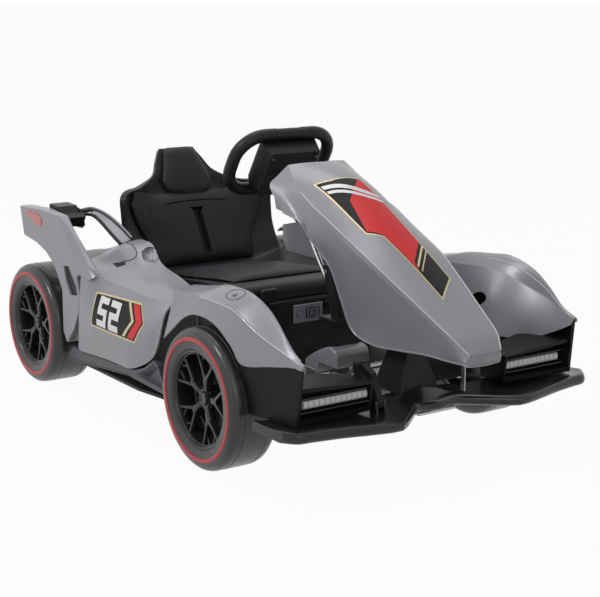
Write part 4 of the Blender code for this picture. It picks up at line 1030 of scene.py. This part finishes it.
# pedestal, boot and post of the steering column
pedestalLook = {"half": .04, "soft": .0042}
pedestalSide = [(.0106, .108), (.0106, .142), (.0118, .158), (.015, .166), (.022, .171), (.035, .1736),
                (.05, .17), (.0642, .1644), (.078, .1575), (.0894, .1517), (.105, .1425), (.118, .134),
                (.118, .108)]
bootRings = [(.213, .0235, .04, .083), (.2, .0245, .039, .09), (.185, .0265, .036, .101),
             (.17, .029, .032, .115), (.156, .03, .032, .128), (.1454, .0305, .032, .137)]
collarRings = [(.211, .0235, .036, .0845), (.214, .0262, .0335, .0868), (.2215, .0268, .033, .087),
               (.224, .0258, .034, .086)]
postRings = [(.212, .015, .036, .064), (.228, .0142, .04, .067), (.262, .0125, .052, .0812),
             (.3, .0115, .068, .0925), (.322, .0105, .078, .0985)]


def makeColumn():
    half = pedestalLook["half"]
    hump = slab("pedestalHump", pedestalSide, -half, half)
    way = block("way", (-.08, -.02, .09), (.08, .075, .1345))
    dress(hump, silver, "column_pedestal", soft=pedestalLook["soft"], segments=3, cuts=[way], angle=30)
    neck = tower("columnNeck", bootRings)
    collar = tower("collar", collarRings)
    dress(neck, black, "column_boot", soft=.0022, segments=3, adds=[collar], angle=24)
    dress(tower("columnPost", postRings), black, "column_post", soft=.0018)
    addScrew("postScrew", (-.011, .089, .308), (-1, 0, 0), .0042)
    for label, side in sides:
        apron = [(-.15, .156), (-.15, .196), (.19, .207), (.19, .156)]
        dress(slab("footApron_" + label, apron, .1995, .2025, side), silver, soft=.0006)


makeSteering()
makeColumn()
print("stage: steering and column")


# seat; its line gives y, z, half width, and how far the side wings stand up from it
seatLine = [(.203, .238, .15, 0), (.208, .262, .156, .002), (.25, .268, .166, .005),
            (.36, .258, .176, .011), (.45, .247, .181, .019), (.515, .241, .184, .026),
            (.553, .25, .184, .022), (.57, .28, .184, .018), (.592, .32, .184, .02),
            (.612, .358, .184, .036), (.627, .386, .18, .05), (.64, .409, .128, .024),
            (.654, .44, .077, .004), (.672, .47, .058, 0), (.687, .493, .043, 0)]
seatLook = {"steps": 5, "columns": 37, "wingFrom": .6, "wall": .013, "lift": .0012, "cutTo": .05}
padLook = {"voxel": .005, "pressure": 4.0, "frames": 20, "mostMoved": .006}
seatPads = {
    "seatCushionPad": {"node": "seat_cushion", "rows": (.262, .522), "thick": .012, "fill": .35,
                       "out": (0, 0, 1), "widths": ((.262, .112), (.3, .122), (.4, .128), (.5, .126),
                                                    (.522, .118))},
    "seatBackPad": {"node": "seat_back_pad", "rows": (.252, .402), "thick": .014, "fill": .4,
                    "out": (0, -.8, .6), "widths": ((.252, .122), (.29, .126), (.343, .156), (.372, .168),
                                                    (.402, .15))},
    "headrestPad": {"node": "headrest_pad", "rows": (.388, .491), "thick": .019, "fill": .6,
                    "out": (0, -.8, .6), "widths": ((.388, .028), (.396, .046), (.406, .057), (.422, .063),
                                                    (.455, .05), (.49, .038))},
}


# cut into the back pad, in side place and height: a slot, a stem below it and a wide vee
slotLine = [(-.078, .3725), (-.06, .375), (-.03, .3765), (0, .377), (.03, .3765), (.06, .375), (.078, .3725)]
backCuts = {
    "slot": {"from": .006, "outline": slotLine + [(x, z - .0024) for x, z in reversed(slotLine)]},
    "stem": {"from": .004, "outline": [(-.018, .362), (.018, .362), (.0105, .354), (.0105, .32), (.0115, .27),
                                       (-.0115, .27), (-.0105, .32), (-.0105, .354)]},
    "vee": {"from": -.01, "outline": [(-.15, .24), (-.06, .263), (-.0115, .279), (.0115, .279), (.06, .263),
                                      (.15, .24), (.15, .23), (-.15, .23)]},
}


def seatRows():
    path = curveThrough([(y, z, 0) for y, z, _, _ in seatLine], seatLook["steps"])
    shape = curveThrough([(w, h, 0) for _, _, w, h in seatLine], seatLook["steps"])
    rows = []
    for i, place in enumerate(path):
        ahead = path[min(i + 1, len(path) - 1)] - path[max(i - 1, 0)]
        rows.append((Vector((0, place.x, place.y)), Vector((0, -ahead.y, ahead.x)).normalized(),
                     shape[i].x, shape[i].y))
    return rows


def onSeat(row, x, lift):
    place, normal, wide, wing = row
    rise = max(0, (min(1.0, abs(x) / wide) - seatLook["wingFrom"]) / (1 - seatLook["wingFrom"])) ** 1.5
    return place + Vector((x, 0, 0)) + normal * (wing * rise + lift)


# the seat row at a height on the back, or at a distance along the cushion
def seatRow(rows, level, onBack):
    axis = 2 if onBack else 1
    usable = [row for row in rows if (row[0].y > .54) == onBack]
    for low, high in zip(usable, usable[1:]):
        if low[0][axis] <= level <= high[0][axis]:
            part = (level - low[0][axis]) / max(high[0][axis] - low[0][axis], 1e-6)
            return tuple(a + (b - a) * part for a, b in zip(low, high))
    return usable[0] if level < usable[0][0][axis] else usable[-1]


def between(table, level):
    for (a, low), (b, high) in zip(table, table[1:]):
        if level <= b:
            return low + (high - low) * max(0, level - a) / (b - a)
    return table[-1][1]


def padShape(name, rows, look):
    first, last = look["rows"]
    count = 15
    rings = []
    for i in range(count + 1):
        level = first + (last - first) * i / count
        row = seatRow(rows, level, look["out"][1] < 0)
        half = between(look["widths"], level)
        high = look["thick"] * min(1.0, .45 + .35 * min(i, count - i))
        columns = [half * (2 * c / 16 - 1) for c in range(17)]
        rings.append([onSeat(row, x, seatLook["lift"]) for x in columns]
                     + [onSeat(row, x, seatLook["lift"] + high * (1 - .55 * abs(x / half) ** 5))
                        for x in reversed(columns)])
    return loft(name, rings)


# blown up a little by a cloth simulation with its underside held, then smoothed once
def puff(pad, outward):
    remesh = pad.modifiers.new("even", "REMESH")
    remesh.mode = "VOXEL"
    remesh.voxel_size = padLook["voxel"]
    settlePart(pad, 0, 60)
    before = [v.co.copy() for v in pad.data.vertices]
    held = pad.vertex_groups.new(name="underside")
    held.add([v.index for v in pad.data.vertices if v.normal.dot(outward) < -.25], 1.0, "REPLACE")
    cloth = pad.modifiers.new("stuffing", "CLOTH")
    cloth.settings.quality = 5
    cloth.settings.mass = .3
    cloth.settings.use_pressure = True
    cloth.settings.uniform_pressure_force = padLook["pressure"]
    cloth.settings.tension_stiffness = 12
    cloth.settings.compression_stiffness = 12
    cloth.settings.vertex_group_mass = "underside"
    cloth.settings.effector_weights.gravity = 0
    cloth.point_cache.frame_start = 1
    cloth.point_cache.frame_end = padLook["frames"]
    for step in range(1, padLook["frames"] + 1):
        bpy.context.scene.frame_set(step)
    settlePart(pad, 0, 60)
    for v, old in zip(pad.data.vertices, before):
        move = v.co - old
        if move.length > padLook["mostMoved"]:
            v.co = old + move * (padLook["mostMoved"] / move.length)
    bpy.context.scene.frame_set(1)
    smooth = pad.modifiers.new("smooth", "SUBSURF")
    smooth.levels = 1
    settlePart(pad, 0, 60)


# a prism that stands on the seat back over an outline given by side place and height
def backCutter(rows, cut):
    return loft("cutter", [[onSeat(seatRow(rows, z, True), x, lift) for x, z in cut["outline"]]
                           for lift in (cut["from"], seatLook["cutTo"])])


def makeSeat():
    rows = seatRows()
    spread = [2 * c / (seatLook["columns"] - 1) - 1 for c in range(seatLook["columns"])]
    shell = skin("seatShell", [[onSeat(row, row[2] * part, 0) for part in spread] for row in rows], (0, 0, 1))
    thicken(shell, seatLook["wall"])
    settlePart(shell, 0, 40)
    dress(shell, black, "seat_shell", body="seat", soft=.0045, segments=3, angle=40)
    for name, look in seatPads.items():
        pad = padShape(name, rows, look)
        puff(pad, Vector(look["out"]))
        cuts = [backCutter(rows, cut) for cut in backCuts.values()] if name == "seatBackPad" else []
        dress(pad, vinyl, look["node"], body="seat", cuts=cuts, angle=50)


makeSeat()
print("stage: seat")

# control panel and seat latch
panelLook = {"face": .1966, "height": .2025, "socket": .031, "button": .002}
# low and high corner, finish, replaced node, rounding, rounding steps
socketParts = {
    "chargeSocket": ((-.0135, -.0016, -.01), (.011, 0, .01), black, "charge_socket", .0034, 4),
    "socketRing": ((-.011, -.0024, -.0076), (.0085, -.0012, .0076), paleGrey, None, .001, 2),
    "socketCap": ((-.0086, -.003, -.0056), (.0062, -.002, .0056), black, None, .0008, 2),
    "socketPin": ((-.0056, -.0034, -.003), (.003, -.0026, .003), paleGrey, None, .0006, 2)}
# low and high corner, finish, body, rounding
latchParts = {
    "latchBody": ((-.093, .185, .238), (-.056, .196, .262), black, "seat", .0025),
    # the two dark grey strips are painted highlights on the top edge of the latch and the lower edge of the
    # lever
    "latchTopHighlight": ((-.092, .1835, .261), (-.061, .1875, .265), darkGrey, "seat", .001),
    "leverEdgeHighlight": ((-.076, .185, .233), (-.051, .1885, .2368), darkGrey, "seat_lock", .001)}


def makePanel():
    face, z, x = panelLook["face"], panelLook["height"], panelLook["socket"]
    corner = Vector((x, face, z))
    for name, (low, high, finish, stands, soft, segments) in socketParts.items():
        part = block(name, corner + Vector(low), corner + Vector(high))
        dress(part, finish, stands, soft=soft, segments=segments)
    turns = [math.radians(angle) for angle in range(-80, 81, 16)]
    hinge = [(x + .015 + .0045 * math.cos(turn), face - .0004, z + .0105 * math.sin(turn)) for turn in turns]
    dress(tube("socketHinge", hinge, .0011, 8), black)
    for name, (low, high, finish, body, soft) in latchParts.items():
        dress(block(name, low, high), finish, body=body, soft=soft)
    x = panelLook["button"]
    dress(rod("powerCap", (x, face - .0021, z), (x, face + .0002, z), .0066, 32), paleGrey, "power_button",
          body="power", soft=.0005)
    turns = [math.radians(angle) for angle in range(0, 361, 12)]
    ring = [(x + .0078 * math.cos(turn), face, z + .0078 * math.sin(turn)) for turn in turns]
    dress(tube("powerRing", ring, .0006, 8), darkGrey)


# prints: flat outlines laid on the bodywork
patchLook = {"step": .007, "lift": .00035}
hoodPrint = {"edge": [(-.0614, .059), (-.0334, .0417), (.0249, .0305), (.035, -.0207), (.0435, -.2168),
                      (-.01, -.2605), (-.0145, -.2012), (-.0277, -.1133), (-.0524, -.0935)],
             "red": [(-.034, -.02), (.018, .027), (.0226, .0258), (.0323, -.0215), (.037, -.133),
                     (-.008, -.178), (-.0115, -.199), (-.025, -.11), (-.048, -.09)],
             "stripes": [[(-.056, .042), (-.0553, .03), (.005, -.012), (.033, -.023), (.0325, -.014),
                          (.006, -.001)],
                         [(-.0552, .024), (-.0546, .016), (.004, -.024), (.0338, -.035), (.0335, -.028),
                          (.005, -.016)]],
             "gold": [[(.0372, -.14), (.0374, -.145), (-.0078, -.19), (-.0076, -.185)],
                      [(.0377, -.152), (.0379, -.155), (-.0072, -.2), (-.007, -.197)]]}
sidePrint = {"edge": [(.424, .249), (.241, .258), (.211, .225), (.249, .18), (.429, .18)],
             "middle": (.358, .2155), "red": [(.27, .252), (.246, .253), (.22, .2255), (.252, .186),
                                              (.276, .186), (.244, .2225)],
             "gold": [(.29, .2515), (.28, .252), (.252, .2215), (.286, .186), (.296, .186),
                      (.262, .221)], "digit": (.04, .058), "stroke": .0125, "gap": .01}
digitStrokes = {"2": ("top", "upperRight", "middle", "lowerLeft", "bottom"),
                "5": ("top", "upperLeft", "middle", "lowerRight", "bottom")}


# the same outline drawn in by a distance at every corner
def drawnIn(outline, inset):
    count = len(outline)
    area = sum(outline[k - 1][0] * outline[k][1] - outline[k][0] * outline[k - 1][1] for k in range(count))
    turn = 1 if area > 0 else -1
    ring = []
    for k in range(count):
        before, here, after = (Vector(outline[j % count]) for j in (k - 1, k, k + 1))
        first, second = (here - before).normalized(), (after - here).normalized()
        normals = [Vector((-d.y, d.x)) * turn for d in (first, second)]
        middle = (normals[0] + normals[1]).normalized()
        ring.append(tuple(here + middle * inset / max(.35, middle.dot(normals[0]))))
    return ring


def patch(name, tree, outline, lay, towards, lift, finish):
    rim = []
    for k, corner in enumerate(outline):
        start, end = Vector(corner), Vector(outline[(k + 1) % len(outline)])
        count = max(1, round((end - start).length / patchLook["step"]))
        rim += [start.lerp(end, i / count) for i in range(count)]
    low = [min(p[i] for p in rim) for i in (0, 1)]
    high = [max(p[i] for p in rim) for i in (0, 1)]
    across, along = (int((high[i] - low[i]) / patchLook["step"]) for i in (0, 1))
    spots = rim + [Vector((low[0] + (i + .5) * patchLook["step"], low[1] + (j + .5) * patchLook["step"]))
                   for i in range(across) for j in range(along)]
    spots, _, faces, *_ = geometry.delaunay_2d_cdt(spots, [], [list(range(len(rim)))], 1, .00001)
    used = sorted({k for face in faces for k in face})
    number = {k: i for i, k in enumerate(used)}
    places = landOn(tree, [lay(spots[k]) for k in used], towards, lift)
    film = makeMesh(name, places, [[number[k] for k in face] for face in faces], -Vector(towards))
    dress(film, finish, angle=60)


def digitBars(symbol, wide, tall, stroke):
    half = stroke / 2
    spans = {"top": ((0, tall - stroke), (wide, tall)), "bottom": ((0, 0), (wide, stroke)),
             "middle": ((0, tall / 2 - half), (wide, tall / 2 + half)),
             "upperLeft": ((0, tall / 2), (stroke, tall)), "lowerLeft": ((0, 0), (stroke, tall / 2)),
             "upperRight": ((wide - stroke, tall / 2), (wide, tall)),
             "lowerRight": ((wide - stroke, 0), (wide, tall / 2))}
    for stroke in digitStrokes[symbol]:
        (a, b), (c, d) = spans[stroke]
        yield [(a, b), (c, b), (c, d), (a, d)]


def makePrints():
    lift = patchLook["lift"]
    tree = surfaceOf(bpy.data.objects["hoodShell"])

    def onHood(name, outline, level, finish):
        patch(name, tree, outline, lambda p: Vector((p[0], p[1], .4)), (0, 0, -1), lift * level, finish)

    onHood("hoodPrintEdge", hoodPrint["edge"], 1, decalGold)
    onHood("hoodPrintField", drawnIn(hoodPrint["edge"], .0028), 2, decalBlack)
    onHood("hoodPrintRed", hoodPrint["red"], 3, decalRed)
    for k, outline in enumerate(hoodPrint["stripes"]):
        onHood("hoodPrintStripe%d" % k, outline, 4, decalWhite)
    for k, outline in enumerate(hoodPrint["gold"]):
        onHood("hoodPrintGold%d" % k, outline, 4, decalGold)
    for label, side in sides:
        shell = surfaceOf(bpy.data.objects["sideShell_" + label])

        def onSide(name, outline, level, finish):
            patch(name + "_" + label, shell, outline, lambda p: Vector((side * .38, p[0], p[1])),
                  (-side, 0, 0), lift * level, finish)

        onSide("sidePrintEdge", sidePrint["edge"], 1, decalGold)
        onSide("sidePrintField", drawnIn(sidePrint["edge"], .0036), 2, decalBlack)
        onSide("sidePrintRed", sidePrint["red"], 3, decalRed)
        onSide("sidePrintGold", sidePrint["gold"], 3, decalGold)
        wide, tall = sidePrint["digit"]
        y, z = sidePrint["middle"]
        for place, symbol in enumerate("52"):
            start = (place - 1) * (wide + sidePrint["gap"]) + sidePrint["gap"] / 2
            for k, bar in enumerate(digitBars(symbol, wide, tall, sidePrint["stroke"])):
                outline = [(y + side * (start + a), z - tall / 2 + b) for a, b in bar]
                onSide("digit%s%d" % (symbol, k), outline, 4, decalWhite)


makePanel()
makePrints()
print("stage: panel and prints")


# floor, light and camera
stageLook = {"floorColour": (.5, .5, .5, 1), "floorHalf": 80, "floorRoughness": .9, "whiteShare": .96,
             "worldLevel": .2}
lampLook = {"keyLamp": {"place": (-2.7, .3, 2.5), "power": 46, "size": .9},
            "fillLamp": {"place": (-1.4, -3.0, 1.6), "power": 12, "size": 1.6},
            "topLamp": {"place": (.2, .6, 2.8), "power": 20, "size": 1.6}}
lampTarget = Vector((0, 0, .2))
cameraLook = {"place": (-1.5462, -2.3133, .8354), "down": .2155, "turn": -.5995, "lens": 84.09, "sensor": 36}


def makeStage():
    far = stageLook["floorHalf"]
    floorMesh = bpy.data.meshes.new("floor")
    floorMesh.from_pydata([(-far, -far, 0), (far, -far, 0), (far, far, 0), (-far, far, 0)], [],
                          [(0, 1, 2, 3)])
    floor = placed("floor", floorMesh)
    paint = Paint("paleFloor", Base_Color=stageLook["floorColour"], Roughness=stageLook["floorRoughness"])
    whiten(paint, paint.shader, paint.tree.nodes["Material Output"], stageLook["whiteShare"])
    floorMesh.materials.append(paint.material)
    world = bpy.data.worlds.new("studio")
    bpy.context.scene.world = world
    world.use_nodes = True
    lit = world.node_tree.nodes["Background"]
    lit.inputs["Strength"].default_value = stageLook["worldLevel"]
    lit.inputs["Color"].default_value = (1, 1, 1, 1)
    whiten(Wiring(world.node_tree), lit, world.node_tree.nodes["World Output"], 1.0)


# the camera, glossy and transmitted rays see this much plain white in place of the lit surface
def whiten(wiring, lit, output, share):
    seen = wiring.node("ShaderNodeLightPath", {}, {}, "Is Camera Ray")
    rays = seen.socket.node.outputs
    for name in ("Is Glossy Ray", "Is Transmission Ray"):
        seen = seen.maths("MAXIMUM", seen, Wire(wiring, rays[name]))
    kind = "ShaderNodeEmission" if output.type == "OUTPUT_MATERIAL" else "ShaderNodeBackground"
    white = wiring.node(kind, {}, {"Color": (1, 1, 1, 1)})
    surfaces = {0: seen * share, 1: Wire(wiring, lit.outputs[0]), 2: white}
    blend = wiring.node("ShaderNodeMixShader", {}, surfaces)
    wiring.put(output.inputs["Surface"], blend)


def addLamps():
    for name, look in lampLook.items():
        light = bpy.data.lights.new(name, "AREA")
        light.energy = look["power"]
        light.size = look["size"]
        lamp = placed(name, light)
        lamp.location = look["place"]
        lamp.rotation_euler = (lampTarget - lamp.location).to_track_quat("-Z", "Y").to_euler()


def addCamera():
    lens = bpy.data.cameras.new("camera")
    lens.lens = cameraLook["lens"]
    lens.sensor_width = cameraLook["sensor"]
    camera = placed("camera", lens)
    camera.location = cameraLook["place"]
    camera.rotation_euler = (math.pi / 2 - cameraLook["down"], 0, cameraLook["turn"])
    bpy.context.scene.camera = camera


makeStage()
addLamps()
addCamera()
bpy.context.scene.view_settings.view_transform = "Standard"
print("stage: finished")
